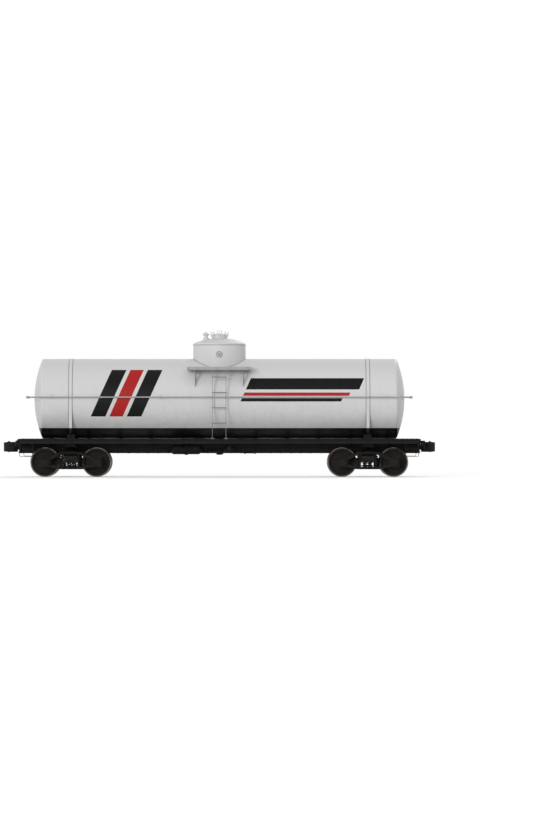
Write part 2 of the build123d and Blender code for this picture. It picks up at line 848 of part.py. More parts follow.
# Couplers: shank, head with guard arm, and a knuckle that hangs on its pin between the head's two lugs.
# The outlines are seen in plan at the front end; the rear coupler is the same one turned half round.
# Columns: distance ahead of the pulling face, distance towards the knuckle's side
head_outline = (
    (-330, 65),
    (-330, -65),
    (-210, -140),
    (-70, -200),
    (48, -220),
    (62, -192),
    (-20, -150),
    (-105, -100),
    (-120, -20),
    (-120, 66),
    (-128, 168),
    (-210, 140),
)
knuckle_outline = (
    (-106, 80),
    (-112, 166),
    (10, 180),
    (68, 156),
    (95, 95),
    (95, 10),
    (70, -20),
    (24, -20),
    (0, 2),
    (0, 66),
    (-50, 62),
)
nose_outline = (
    (2, 178),
    (68, 156),
    (95, 95),
    (95, 10),
    (70, -20),
    (24, -20),
    (2, 2),
)
head_depth = 280
lug_thickness = 38
lug_radius = 50
knuckle_pin_ahead = -62
knuckle_pin_aside = 118
knuckle_pin_radius = 20
casting_radius = 12
knuckle_gap = 1


def in_plan(outline, end):
    """Turn outline points, seen at the front coupler, into places on the coupler at the given end."""
    return [(end * (pulling_face + ahead), end * aside) for ahead, aside in outline]


for name, end in ends:
    head_floor = coupler_height - head_depth / 2
    head_roof = coupler_height + head_depth / 2
    pin_place = (end * (pulling_face + knuckle_pin_ahead), end * knuckle_pin_aside)

    with BuildPart() as coupler:
        block(
            sorted((end * gear_end, end * (pulling_face - 310))),
            (-shank_width / 2, shank_width / 2),
            (coupler_height - shank_depth / 2, coupler_height + shank_depth / 2),
        )
        with BuildSketch(Plane.XY.offset(head_floor)):
            with BuildLine():
                FilletPolyline(*in_plan(head_outline, end), close=True, radius=casting_radius)
            make_face()
        extrude(amount=head_depth)
        for floor in (head_floor, head_roof - lug_thickness):
            with BuildSketch(Plane.XY.offset(floor)):
                with Locations(pin_place):
                    Circle(lug_radius)
                with BuildLine():
                    Polyline(
                        *in_plan(((-126, 68), (-126, 166), (-80, 164), (-80, 68)), end),
                        close=True,
                    )
                make_face()
            extrude(amount=lug_thickness)
        with BuildSketch(Plane.XY.offset(head_floor - 12)):
            with Locations(pin_place):
                Circle(knuckle_pin_radius)
        extrude(amount=head_depth + 30)
    write(coupler, f"coupler_{name}")

    with BuildPart() as knuckle_piece:
        with BuildSketch(Plane.XY.offset(head_floor + lug_thickness + knuckle_gap)):
            with BuildLine():
                FilletPolyline(*in_plan(knuckle_outline, end), close=True, radius=casting_radius)
            make_face()
        extrude(amount=head_depth - 2 * (lug_thickness + knuckle_gap))
        with BuildSketch(Plane.XY.offset(head_floor)):
            with BuildLine():
                FilletPolyline(*in_plan(nose_outline, end), close=True, radius=casting_radius)
            make_face()
        extrude(amount=head_depth)
        with BuildSketch(Plane.XY.offset(head_floor)):
            with Locations(pin_place):
                Circle(knuckle_pin_radius + pin_gap)
        extrude(amount=head_depth, mode=Mode.SUBTRACT)
    write(knuckle_piece, f"knuckle_{name}")

# Uncoupling levers along the end sills, from a handle at one corner to a lug on the coupler's head
lever_rod = 12
lever_stand = 105
lever_height = coupler_height + head_depth / 2 + 21 + lever_rod
lever_handle = 240
lever_brackets = (560, 1290)
with BuildPart() as uncoupling_levers:
    for name, end in ends:
        lever_x = end * (half_deck + lever_stand)
        with BuildLine() as lever_route:
            FilletPolyline(
                (lever_x, 0, lever_height),
                (lever_x, -end * (half_width - 130), lever_height),
                (lever_x, -end * (half_width - 130), lever_height - lever_handle),
                radius=40,
            )
        with BuildSketch(Plane(origin=lever_route.line @ 0, z_dir=lever_route.line % 0)):
            Circle(lever_rod)
        sweep(path=lever_route.wires()[0])
        for place in lever_brackets:
            block(
                sorted((end * half_deck, lever_x + end * 30)),
                sorted((-end * (place - 5), -end * (place + 5))),
                (lever_height - 26, deck_bottom - 2),
            )
        block(
            (lever_x - 18, lever_x + 18),
            (-18, 18),
            (coupler_height + head_depth / 2 + seat_gap, lever_height),
        )
write(uncoupling_levers, "uncoupling_levers")

# Sill steps at the four corners: a strap bent round under a crossbar
step_half = 190
step_x = half_deck - 260
step_drop = 394
step_bar_drop = 153
step_strap = 14
step_width = 50
step_bend = 30
with BuildPart() as sill_steps:
    for name, end in ends:
        for side_name, side in sides:
            strap_y = side * (edge_sill_outer - step_width / 2)
            strap_low = sill_top - step_drop + step_strap / 2
            with BuildLine() as strap_route:
                FilletPolyline(
                    (end * step_x - step_half, strap_y, sill_top),
                    (end * step_x - step_half, strap_y, strap_low),
                    (end * step_x + step_half, strap_y, strap_low),
                    (end * step_x + step_half, strap_y, sill_top),
                    radius=step_bend,
                )
            with BuildSketch(Plane(origin=strap_route.line @ 0, x_dir=(0, 1, 0), z_dir=strap_route.line % 0)):
                Rectangle(step_width, step_strap)
            sweep(path=strap_route.wires()[0])
            block(
                (end * step_x - step_half, end * step_x + step_half),
                (strap_y - step_width / 2, strap_y + step_width / 2),
                (sill_top - step_bar_drop - step_strap, sill_top - step_bar_drop),
            )
write(sill_steps, "sill_steps")

# End handholds on the end sills
hold_rod = 11
hold_stand = 60
hold_inner = 650
hold_outer = 1150
hold_height = sill_top + sill_depth / 2
with BuildPart() as end_handholds:
    for name, end in ends:
        for side_name, side in sides:
            with BuildLine(Plane.XY.offset(hold_height)) as grip:
                FilletPolyline(
                    (end * half_deck, side * hold_inner),
                    (end * (half_deck + hold_stand), side * hold_inner),
                    (end * (half_deck + hold_stand), side * hold_outer),
                    (end * half_deck, side * hold_outer),
                    radius=30,
                )
            with BuildSketch(Plane(origin=grip.line @ 0, z_dir=grip.line % 0)):
                Circle(hold_rod)
            sweep(path=grip.wires()[0])
write(end_handholds, "end_handholds")

# Hand brake on the left running board near the rear end: a post, a gear case and a wheel on its shaft
brake_x = -truck_x - 535
brake_y = half_width - running_board_width + 100
brake_height = deck_top + 560
post_width = 120
post_depth = 60
post_foot = 220
post_foot_thickness = 14
case_width = 240
case_height = 320
case_depth = 72
case_corner = 50
case_edge = 14
case_boss_radius = 84
case_boss_depth = 14
hand_wheel_radius = 267
hand_wheel_rod = 13
hand_wheel_stand = 109
hand_wheel_hub = 46
hand_wheel_hub_half = 20
hand_wheel_shaft = 22
hand_wheel_arms = 5
arm_root_radius = 15
arm_tip_radius = 9
arm_start = hand_wheel_hub - 10

# The case's boss, the shaft and the wheel's hub
# Columns: distance from the case's back, radius
shaft_profile = (
    (case_depth / 2, 0),
    (case_depth / 2, case_boss_radius),
    (case_depth + case_boss_depth, case_boss_radius),
    (case_depth + case_boss_depth, hand_wheel_shaft),
    (hand_wheel_stand - hand_wheel_hub_half, hand_wheel_shaft),
    (hand_wheel_stand - hand_wheel_hub_half, hand_wheel_hub),
    (hand_wheel_stand + hand_wheel_hub_half, hand_wheel_hub),
    (hand_wheel_stand + hand_wheel_hub_half, hand_wheel_shaft),
    (hand_wheel_stand + 1.5 * hand_wheel_hub_half, hand_wheel_shaft),
    (hand_wheel_stand + 1.5 * hand_wheel_hub_half, 0),
)
with BuildPart() as hand_brake:
    with BuildSketch(Plane.XZ.offset(-brake_y)):
        with Locations((brake_x, brake_height)):
            RectangleRounded(case_width, case_height, case_corner)
    extrude(amount=-case_depth)
    fillet(hand_brake.faces().sort_by(Axis.Y)[-1].outer_wire().edges(), case_edge)
    with BuildSketch(Plane.XY.offset(deck_top)):
        with Locations((brake_x, brake_y + post_depth / 2)):
            RectangleRounded(post_foot, 2 * post_depth, post_foot_thickness)
    extrude(amount=post_foot_thickness)
    with BuildSketch(Plane.XY.offset(deck_top)):
        with Locations(Location((brake_x, brake_y + post_depth / 2), 90)):
            channel((0, 0), post_depth, post_width, 1)
    extrude(amount=brake_height - deck_top)
    with BuildSketch(Plane.YZ.offset(brake_x)):
        with BuildLine():
            Polyline(
                *[(brake_y + along, brake_height + reach) for along, reach in shaft_profile],
                close=True,
            )
        make_face()
        with Locations((brake_y + hand_wheel_stand, brake_height + hand_wheel_radius)):
            Circle(hand_wheel_rod)
    revolve(axis=Axis((brake_x, 0, brake_height), (0, 1, 0)))
    for arm in range(hand_wheel_arms):
        turn = 90 + 360 / hand_wheel_arms * arm
        with Locations(Location((brake_x, brake_y + hand_wheel_stand, brake_height), (0, turn, 0))):
            with Locations((0, 0, (arm_start + hand_wheel_radius) / 2)):
                Cone(arm_root_radius, arm_tip_radius, hand_wheel_radius - arm_start)
write(hand_brake, "hand_brake")

# Brake cylinder, air reservoir and control valve, hung beside the centre sill
cylinder_radius = 130
cylinder_flange = 148
cylinder_length = 420
cylinder_x = 900
cylinder_y = 520
push_sleeve_radius = 34
push_sleeve_reach = 80
rigging_height = 830
hanger_depth = 40
hanger_length = 180
cylinder_hanger_rise = 50

# Brake cylinder's outline from its push rod's sleeve to its closed head
# Columns: distance along from the cylinder's middle, radius, rounding of the corner
cylinder_profile = (
    (-cylinder_length / 2 - push_sleeve_reach, 0, 0),
    (-cylinder_length / 2 - push_sleeve_reach, push_sleeve_radius, 6),
    (-cylinder_length / 2 - 30, push_sleeve_radius, 16),
    (-cylinder_length / 2 + 10, cylinder_radius - 20, 20),
    (-cylinder_length / 2 + 60, cylinder_radius - 8, 6),
    (-cylinder_length / 2 + 60, cylinder_flange, 4),
    (-cylinder_length / 2 + 96, cylinder_flange, 4),
    (-cylinder_length / 2 + 96, cylinder_radius, 10),
    (cylinder_length / 2 - 60, cylinder_radius, 10),
    (cylinder_length / 2 - 60, cylinder_flange, 4),
    (cylinder_length / 2 - 26, cylinder_flange, 4),
    (cylinder_length / 2 - 26, cylinder_radius - 10, 8),
    (cylinder_length / 2, cylinder_radius - 34, 20),
    (cylinder_length / 2, 0, 0),
)
with BuildPart() as brake_cylinder:
    with BuildSketch(Plane.XY.offset(rigging_height)):
        with BuildLine():
            FilletPolyline(
                *[(cylinder_x + along, cylinder_y + reach) for along, reach, corner in cylinder_profile],
                close=True,
                radius=[corner for along, reach, corner in cylinder_profile],
            )
        make_face()
    revolve(axis=Axis((0, cylinder_y, rigging_height), (1, 0, 0)))
    block(
        (cylinder_x - hanger_length / 2, cylinder_x + hanger_length / 2),
        (web_face + seat_gap, cylinder_y),
        (rigging_height + cylinder_hanger_rise, rigging_height + cylinder_hanger_rise + hanger_depth),
    )
write(brake_cylinder, "brake_cylinder")

# Air reservoir in two halves, bolted together at a flange
reservoir_radius = 150
reservoir_flange = 162
reservoir_flange_half = 22
reservoir_length = 900
reservoir_dish = 90
reservoir_x = -1000
reservoir_y = 470
reservoir_hanger_x = 280

# Outline of the reservoir's one half from its middle
# Columns: distance along, radius, rounding of the corner
reservoir_profile = (
    (0, 0, 0),
    (0, reservoir_flange, 0),
    (reservoir_flange_half, reservoir_flange, 0),
    (reservoir_flange_half, reservoir_radius, 0),
    (reservoir_length / 2, reservoir_radius, reservoir_dish),
    (reservoir_length / 2, 0, 0),
)
with BuildPart() as air_reservoir:
    with BuildSketch(Plane.XY.offset(rigging_height)):
        with BuildLine():
            FilletPolyline(
                *[(reservoir_x + along, -reservoir_y + reach) for along, reach, corner in reservoir_profile],
                close=True,
                radius=[corner for along, reach, corner in reservoir_profile],
            )
        make_face()
    revolve(axis=Axis((0, -reservoir_y, rigging_height), (1, 0, 0)))
    mirror(about=Plane.YZ.offset(reservoir_x))
    for x in (-reservoir_hanger_x, reservoir_hanger_x):
        block(
            (reservoir_x + x - hanger_depth / 2, reservoir_x + x + hanger_depth / 2),
            (-reservoir_y, -(web_face + seat_gap)),
            (rigging_height - hanger_depth / 2, rigging_height + hanger_depth / 2),
        )
write(air_reservoir, "air_reservoir")

# Control valve on its pipe bracket, with a cap at each end
valve_block = 190
valve_depth = 90
valve_corner = 34
valve_gear_x = 300
valve_stand = 155
valve_bracket_half = 40
valve_cap_length = 70
valve_cap_root = 62
valve_cap_tip = 48
with BuildPart() as control_valve:
    block(
        (valve_gear_x - valve_bracket_half, valve_gear_x + valve_bracket_half),
        (-(web_face + valve_stand), -(web_face + seat_gap)),
        (rigging_height - valve_bracket_half, rigging_height + valve_bracket_half),
    )
    with BuildSketch(Plane.XZ.offset(web_face + valve_stand)):
        with Locations((valve_gear_x, rigging_height)):
            RectangleRounded(valve_block, valve_block, valve_corner)
    extrude(amount=valve_depth)
    for way in (1, -1):
        cap_x = valve_gear_x + way * (valve_block + valve_cap_length) / 2
        cap_place = (cap_x, -(web_face + valve_stand + valve_depth / 2), rigging_height)
        with Locations(Location(cap_place, (0, way * 90, 0))):
            Cone(valve_cap_root, valve_cap_tip, valve_cap_length)
write(control_valve, "control_valve")

# Brake rods: two levers beside the cylinder, the tie between them, and a top rod to each truck.
# A top rod ends short of its truck's lever, which swings with the truck.
rod_radius = 13
rod_y = 340
tie_y = 660
lever_half_thickness = 14
shoe_back = 84.5
shoe_gap = 12
beam_x = half_wheelbase - tread_radius - shoe_gap - shoe_back
lever_swing = 75
front_lever_x = cylinder_x - cylinder_length / 2 - 80 - lever_half_thickness * 2
rear_lever_x = -300
lever_places = ((1, front_lever_x), (-1, rear_lever_x))
with BuildPart() as brake_rods:
    for end, x in lever_places:
        block(
            (x - 2 * lever_half_thickness, x + 2 * lever_half_thickness),
            (rod_y - 40, tie_y + 40),
            (rigging_height - lever_half_thickness, rigging_height + lever_half_thickness),
        )
        rod_end = end * (truck_x - beam_x - lever_swing)
        with Locations(Location(((x + rod_end) / 2, rod_y, rigging_height), (0, 90, 0))):
            Cylinder(rod_radius, abs(rod_end - x))
        with Locations((rod_end - end * 50, rod_y, rigging_height)):
            Box(100, 44, 44)
        for bearer in bearer_places[1:4:2]:
            block(
                (end * bearer - 10, end * bearer + 10),
                (rod_y - 10, rod_y + 10),
                (rigging_height, sill_top),
            )
    with Locations(Location(((front_lever_x + rear_lever_x) / 2, tie_y, rigging_height), (0, 90, 0))):
        Cylinder(rod_radius, front_lever_x - rear_lever_x)
write(brake_rods, "brake_rods")

# Train pipe under the deck with an angle cock at each end
pipe_past_deck = 60
cock_radius = 34
cock_length = 80
pipe_hanger_half = 15
pipe_hanger_thickness = 16
with BuildPart() as train_pipe:
    with BuildSketch(Plane.YZ):
        with Locations((pipe_y, pipe_z)):
            Circle(pipe_radius)
    extrude(amount=half_deck + pipe_past_deck, both=True)
    for name, end in ends:
        cock_x = end * (half_deck + pipe_past_deck - pipe_radius / 2 + cock_length / 2)
        with Locations(Location((cock_x, pipe_y, pipe_z), (0, 90, 0))):
            Cylinder(cock_radius, cock_length)
        for x in bearer_places:
            block(
                (end * x - pipe_hanger_half, end * x + pipe_hanger_half),
                (pipe_y - pipe_hanger_thickness / 2, pipe_y + pipe_hanger_thickness / 2),
                (pipe_z, sill_top),
            )
write(train_pipe, "train_pipe")

# Bottom outlet between the centre sill's channels
with BuildPart() as bottom_outlet:
    with BuildSketch(Plane.XY.offset(sill_bottom + 60)):
        Circle(outlet_radius)
    extrude(amount=tank_height - sill_bottom - 60)
    cut_tank_shape()
    with BuildSketch(Plane.XY.offset(sill_bottom + 30)):
        Circle(outlet_flange_radius)
    extrude(amount=30)
    with BuildSketch(Plane.XY.offset(nozzle_bottom)):
        Circle(nozzle_radius)
    extrude(amount=sill_bottom + 30 - nozzle_bottom)
write(bottom_outlet, "bottom_outlet")

# Wheel profile, for the wheel on the left side
# Columns: distance from the wheel's back face, radius, rounding of the corner
wheel_back = back_to_back / 2
rim_inside = tread_radius - rim_depth
hub_back = -8
plate_back = 62
tread_taper = 1 / 20
tread_end = tread_radius - (rim_width - flange_width) / 2 * tread_taper
wheel_profile = (
    (hub_back, wheel_seat_radius, 0),
    (hub_back, hub_radius, 0),
    (plate_back - 34, hub_radius + 14, 20),
    (plate_back - 18, rim_inside - 12, 14),
    (0, rim_inside, 0),
    (0, axle_height, 9),
    (flange_width - 10, axle_height, 9),
    (flange_width + 6, tread_radius + 2, 16),
    (rim_width, tread_end, 12),
    (rim_width, rim_inside, 0),
    (plate_back - 18 + plate_thickness, rim_inside - 12, 20),
    (plate_back - 8 + plate_thickness, hub_radius + 14, 24),
    (hub_back + hub_length, hub_radius - 8, 0),
    (hub_back + hub_length, wheel_seat_radius, 0),
)

# Axle profile from the middle to one end
# Columns: distance from the middle, radius
seat_start = wheel_back + hub_back
seat_end = seat_start + hub_length
axle_profile = (
    (0, axle_body_radius - 6),
    (seat_start - 90, axle_body_radius),
    (seat_start - 4, wheel_seat_radius),
    (seat_end, wheel_seat_radius),
    (seat_end + 6, journal_radius),
    (journal_end, journal_radius),
)

for number, x in axle_places:
    axle_line = Axis((x, 0, axle_height), (0, 1, 0))
    with BuildPart() as wheels:
        with BuildSketch(Plane.YZ.offset(x)):
            with BuildLine():
                FilletPolyline(
                    *[(wheel_back + across, axle_height + reach) for across, reach, corner in wheel_profile],
                    close=True,
                    radius=[corner for across, reach, corner in wheel_profile],
                )
            make_face()
        revolve(axis=axle_line)
        mirror(about=Plane.XZ)
    write(wheels, f"wheels_{number}")

    with BuildPart() as axle:
        with BuildSketch(Plane.YZ.offset(x)):
            with BuildLine():
                Polyline(
                    (0, axle_height),
                    *[(across, axle_height + radius) for across, radius in axle_profile],
                    (journal_end, axle_height),
                    close=True,
                )
            make_face()
        revolve(axis=axle_line)
        mirror(about=Plane.XZ)
    write(axle, f"axle_{number}")

# Trucks: side frames, bolster, springs and brake beams
frame_reach = half_wheelbase + frame_tip
frame_corner = 28
window_corner = 24
column_width = 60
side_window_inner = max(window_half_length + column_width, beam_x)
side_window_outer = half_wheelbase - box_half_length - 40
side_window_rim = 70
side_window_tip = 62
box_corner = 26
lid_half = 112
lid_thickness = 22
recess_depth = 22
recess_rim = 16

# Side frame outline and the recesses in its bars, seen from the side
# Columns: distance along from the truck's middle, height
frame_outline = (
    (-frame_top_flat, frame_top),
    (frame_top_flat, frame_top),
    (half_wheelbase - box_half_length + 20, axle_height + box_above_axle),
    (frame_reach, axle_height + box_above_axle - 40),
    (frame_reach, axle_height - box_below_axle + 40),
    (half_wheelbase - box_half_length + 20, axle_height - box_below_axle),
    (frame_bottom_flat, frame_bottom),
    (-frame_bottom_flat, frame_bottom),
    (-half_wheelbase + box_half_length - 20, axle_height - box_below_axle),
    (-frame_reach, axle_height - box_below_axle + 40),
    (-frame_reach, axle_height + box_above_axle - 40),
    (-half_wheelbase + box_half_length - 20, axle_height + box_above_axle),
)
top_recess = (
    (-frame_top_flat + 20, frame_top - recess_rim),
    (frame_top_flat - 20, frame_top - recess_rim),
    (frame_top_flat - 20, window_top + recess_rim),
    (-frame_top_flat + 20, window_top + recess_rim),
)
bottom_recess = (
    (-frame_bottom_flat + 20, window_bottom - recess_rim),
    (frame_bottom_flat - 20, window_bottom - recess_rim),
    (frame_bottom_flat - 40, frame_bottom + recess_rim),
    (-frame_bottom_flat + 40, frame_bottom + recess_rim),
)

# Openings through the truck bolster's walls
# Columns: distance of the middle from the car's middle plane, length, depth, height of the middle
bolster_openings = (
    (350, 260, 90, 535),
    (735, 180, 60, 565),
)
bowl_floor = centre_plate_bottom - seat_gap
beam_z = 400
beam_depth = 44
truss_rod = 26
truss_bow = 50
shoe_middle = 766
shoe_width = 78
shoe_length = 330
shoe_reach = 130
for name, end in ends:
    centre_x = end * truck_x

    with BuildPart() as side_frames:
        with BuildSketch(Plane.XZ.offset(-frame_inner)) as casting:
            with BuildLine():
                FilletPolyline(
                    *[(centre_x + along, height) for along, height in frame_outline],
                    close=True,
                    radius=frame_corner,
                )
            make_face()
            with Locations((centre_x, (window_top + window_bottom) / 2)):
                Rectangle(2 * window_half_length, window_top - window_bottom, mode=Mode.SUBTRACT)
            for way in (1, -1):
                with BuildLine():
                    FilletPolyline(
                        (centre_x + way * side_window_inner, frame_top - side_window_rim),
                        (centre_x + way * side_window_outer, axle_height + side_window_tip),
                        (centre_x + way * side_window_outer, axle_height - side_window_tip),
                        (centre_x + way * side_window_inner, frame_bottom + side_window_rim),
                        close=True,
                        radius=window_corner,
                    )
                make_face(mode=Mode.SUBTRACT)
        extrude(amount=-(frame_outer - frame_inner))
        for bar_outline in (top_recess, bottom_recess):
            with BuildSketch(Plane.XZ.offset(-frame_outer)):
                with BuildLine():
                    FilletPolyline(
                        *[(centre_x + along, height) for along, height in bar_outline],
                        close=True,
                        radius=8,
                    )
                make_face()
            extrude(amount=recess_depth, mode=Mode.SUBTRACT)
        for way in (1, -1):
            x = centre_x + way * half_wheelbase
            with BuildSketch(Plane.XZ.offset(-box_inner)):
                with Locations((x, axle_height + (box_above_axle - box_below_axle) / 2)):
                    RectangleRounded(2 * box_half_length, box_above_axle + box_below_axle, box_corner)
            extrude(amount=-(box_outer - lid_thickness - box_inner))
            with BuildSketch(Plane.XZ.offset(-(box_outer - lid_thickness))):
                with Locations((x, axle_height)):
                    RectangleRounded(2 * lid_half, 2 * lid_half, box_corner)
                with Locations((x, axle_height + lid_half)):
                    Rectangle(lid_half, 40)
            extrude(amount=-lid_thickness)
            with BuildSketch(Plane.XZ.offset(-box_inner)):
                with Locations((x, axle_height)):
                    Circle(journal_radius + pin_gap)
            extrude(amount=-(journal_end + 6 - box_inner), mode=Mode.SUBTRACT)
        mirror(about=Plane.XZ)
    write(side_frames, f"{name}_truck_side_frames")

    with BuildPart() as truck_bolster:
        with BuildSketch(Plane.YZ.offset(centre_x)):
            with BuildLine():
                Polyline(
                    (-truck_bolster_reach, truck_bolster_end_bottom),
                    (-frame_inner + 80, truck_bolster_end_bottom),
                    (-450, truck_bolster_bottom),
                    (450, truck_bolster_bottom),
                    (frame_inner - 80, truck_bolster_end_bottom),
                    (truck_bolster_reach, truck_bolster_end_bottom),
                    (truck_bolster_reach, truck_bolster_top),
                    (-truck_bolster_reach, truck_bolster_top),
                    close=True,
                )
            make_face()
        extrude(amount=truck_bolster_half_width, both=True)
        with BuildSketch(Plane.YZ.offset(centre_x)):
            for aside, length, depth, height in bolster_openings:
                with Locations((-aside, height), (aside, height)):
                    SlotOverall(length, depth)
        extrude(amount=truck_bolster_half_width, both=True, mode=Mode.SUBTRACT)
        with BuildSketch(Plane.XY.offset(truck_bolster_top)):
            with Locations((centre_x, 0)):
                Circle(centre_plate_radius + 3 + bowl_wall)
        extrude(amount=bowl_rim_top - truck_bolster_top)
        with BuildSketch(Plane.XY.offset(bowl_floor)):
            with Locations((centre_x, 0)):
                Circle(centre_plate_radius + 3)
        extrude(amount=bowl_rim_top - bowl_floor, mode=Mode.SUBTRACT)
        for side in (1, -1):
            block(
                (centre_x - bearing_length / 2, centre_x + bearing_length / 2),
                sorted((side * bearing_inner, side * bearing_outer)),
                (truck_bolster_top, bearing_height - slide_gap),
            )
    write(truck_bolster, f"{name}_truck_bolster")

    with BuildPart() as springs:
        for side in (1, -1):
            for across in (-1, 1):
                for along in (-1, 1):
                    with BuildSketch(Plane.XY.offset(window_bottom)):
                        with Locations(
                            (
                                centre_x + along * spring_pitch / 2,
                                side * (frame_inner + frame_outer) / 2 + across * spring_pitch / 2,
                            )
                        ):
                            Circle(spring_radius)
                    extrude(amount=truck_bolster_end_bottom - window_bottom)
    write(springs, f"{name}_truck_springs")

    with BuildPart() as brake_beams:
        for way in (1, -1):
            x = centre_x + way * beam_x
            block(
                (x - beam_depth / 2, x + beam_depth / 2),
                (-frame_inner + seat_gap, frame_inner - seat_gap),
                (beam_z - beam_depth / 2, beam_z + beam_depth / 2),
            )
            with BuildSketch(Plane.XY.offset(beam_z - truss_rod / 2)):
                with BuildLine():
                    Polyline((x, -shoe_middle), (x - way * truss_bow, 0), (x, shoe_middle))
                    offset(amount=truss_rod / 2, side=Side.BOTH)
                make_face()
                with Locations((x - way * truss_bow / 2, 0)):
                    Rectangle(truss_bow, 2 * truss_rod)
            extrude(amount=truss_rod)
            for side in (1, -1):
                block(
                    sorted((x, x + way * shoe_reach)),
                    sorted((side * (shoe_middle - shoe_width / 2), side * (shoe_middle + shoe_width / 2))),
                    (beam_z - shoe_length / 2, beam_z + shoe_length / 2),
                )
            with Locations(Location((centre_x + way * half_wheelbase, 0, axle_height), (90, 0, 0))):
                Cylinder(tread_radius + shoe_gap, deck_width, mode=Mode.SUBTRACT)
        lever_x = centre_x - end * beam_x
        block(
            (lever_x - lever_half_thickness, lever_x + lever_half_thickness),
            (rod_y - lever_half_thickness, rod_y + lever_half_thickness),
            (beam_z, rigging_height + 40),
        )
    write(brake_beams, f"{name}_truck_brake_beams")
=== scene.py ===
import json
import math
from functools import cache

import bmesh
import bpy
import numpy as np
from bpy.props import FloatProperty, FloatVectorProperty, IntProperty, PointerProperty
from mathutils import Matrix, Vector


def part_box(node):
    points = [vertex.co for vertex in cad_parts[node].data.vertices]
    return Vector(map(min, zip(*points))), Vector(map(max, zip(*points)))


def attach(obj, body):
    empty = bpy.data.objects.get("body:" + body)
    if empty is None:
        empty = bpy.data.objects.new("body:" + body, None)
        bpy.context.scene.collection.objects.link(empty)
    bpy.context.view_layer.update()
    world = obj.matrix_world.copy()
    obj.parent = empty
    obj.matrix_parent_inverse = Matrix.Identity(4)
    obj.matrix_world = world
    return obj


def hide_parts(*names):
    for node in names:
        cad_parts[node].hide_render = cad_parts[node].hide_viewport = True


bl_info = {
    "name": "Railway tank car",
    "version": (1, 0, 0),
    "blender": (4, 5, 0),
    "location": "3D View > Sidebar > Tank car",
    "description": "Paint, castings, springs and small fittings of a single-dome railway tank car",
    "category": "Object",
}

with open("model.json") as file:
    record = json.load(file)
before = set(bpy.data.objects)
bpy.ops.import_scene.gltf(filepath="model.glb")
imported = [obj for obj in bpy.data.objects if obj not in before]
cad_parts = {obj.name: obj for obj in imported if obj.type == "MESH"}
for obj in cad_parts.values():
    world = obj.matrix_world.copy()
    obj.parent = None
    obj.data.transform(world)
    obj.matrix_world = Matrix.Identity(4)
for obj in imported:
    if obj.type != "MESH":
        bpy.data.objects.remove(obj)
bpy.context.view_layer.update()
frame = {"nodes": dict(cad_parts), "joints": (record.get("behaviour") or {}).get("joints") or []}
NODES = frame["nodes"]
BOX = {name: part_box(name) for name in NODES}
JOINT = {joint["name"]: joint["pos_m"] for joint in frame["joints"]}

# Sizes from the CAD that the frame's boxes don't give, in metres
DOME_WALL = 0.465
RING_HEIGHT = 0.122
STILE_HALF, STILE_FOOT_HALF = 0.028, 0.045
BRACKET_DROP = 0.5
TANK_OVERHANG = 0.82
WEB_FACE = 0.1765
SIDE_FRAME_FACE = 1.065
BRAKE_BEAM_X = 0.262
BEARER_START, BEARER_CLEAR, BEARER_WIDTH = 1.1, 0.515, 0.09

# Places read from the frame, in metres
TANK_LOW, TANK_HIGH = BOX["tank"]
TANK_RADIUS = (TANK_HIGH.z - TANK_LOW.z) / 2
TANK_AXIS = (TANK_HIGH.z + TANK_LOW.z) / 2
DOME_RADIUS = BOX["dome"][1].x
DOME_WALL_TOP = TANK_HIGH.z + DOME_WALL
LID_FOOT = BOX["manway_ring"][0].z + RING_HEIGHT
DECK_TOP = BOX["running_boards"][1].z
DECK_BOTTOM = BOX["running_boards"][0].z
PLATFORM_LOW, PLATFORM_HIGH = BOX["dome_platform_left"]
LADDER_Y = BOX["ladder_rails"][1].y - STILE_HALF
RAIL_HEIGHT = (BOX["handrail_sides"][0].z + BOX["handrail_sides"][1].z) / 2
SILL_LOW, SILL_HIGH = BOX["centre_sill"]
SIDE_FACE = BOX["side_sills"][1].y
END_FACE = BOX["end_sills"][1].x
TRUCK_X = JOINT["front_truck_swivel"][0]
SILL_MIDDLE = (SILL_HIGH.z + DECK_BOTTOM) / 2
AXLE_HEIGHT = JOINT["wheelset_1_roll"][2]
HALF_WHEELBASE = JOINT["wheelset_1_roll"][0] - TRUCK_X
TRUCKS = (("front_truck", 1), ("rear_truck", -1))
WHEEL_X = [(number, JOINT[f"wheelset_{number}_roll"][0]) for number in range(1, 5)]
TANGENT = TRUCK_X + TANK_OVERHANG
BETWEEN_TRUCKS = np.linspace(BEARER_START, TRUCK_X - BEARER_CLEAR, 4)
BEARERS = np.array([*BETWEEN_TRUCKS, TRUCK_X + BEARER_CLEAR + BEARER_WIDTH, END_FACE - BEARER_CLEAR])

# Edges sharper than this stay sharp in a new piece, and points nearer than this are one
SHARP_ANGLE = math.radians(40)
SAME_POINT = 1e-6

# Directions, and signs that give the mirror pictures of a shape: across the car, along it, and both at once
AHEAD, BEHIND, LEFT, RIGHT, UP, DOWN = (1, 0, 0), (-1, 0, 0), (0, 1, 0), (0, -1, 0), (0, 0, 1), (0, 0, -1)
WALL_PICTURE = (1, -1, 1)
END_PICTURE = (-1, 1, 1)
HALF_TURN = (-1, -1, 1)
ALL_CORNERS = (WALL_PICTURE, END_PICTURE, HALF_TURN)


def linear(hex_colour):
    """Turn an sRGB hex colour into linear red, green and blue."""
    parts = [int(hex_colour[i:i + 2], 16) / 255 for i in (0, 2, 4)]
    return tuple(p / 12.92 if p <= 0.04045 else ((p + 0.055) / 1.055) ** 2.4 for p in parts)


def colour(name, description, hex_colour):
    """A colour that a user may change."""
    return FloatVectorProperty(
        name=name, description=description, subtype="COLOR", size=3, min=0, max=1, default=linear(hex_colour)
    )


def length(name, description, metres):
    """A length that a user may change."""
    return FloatProperty(name=name, description=description, unit="LENGTH", default=metres)


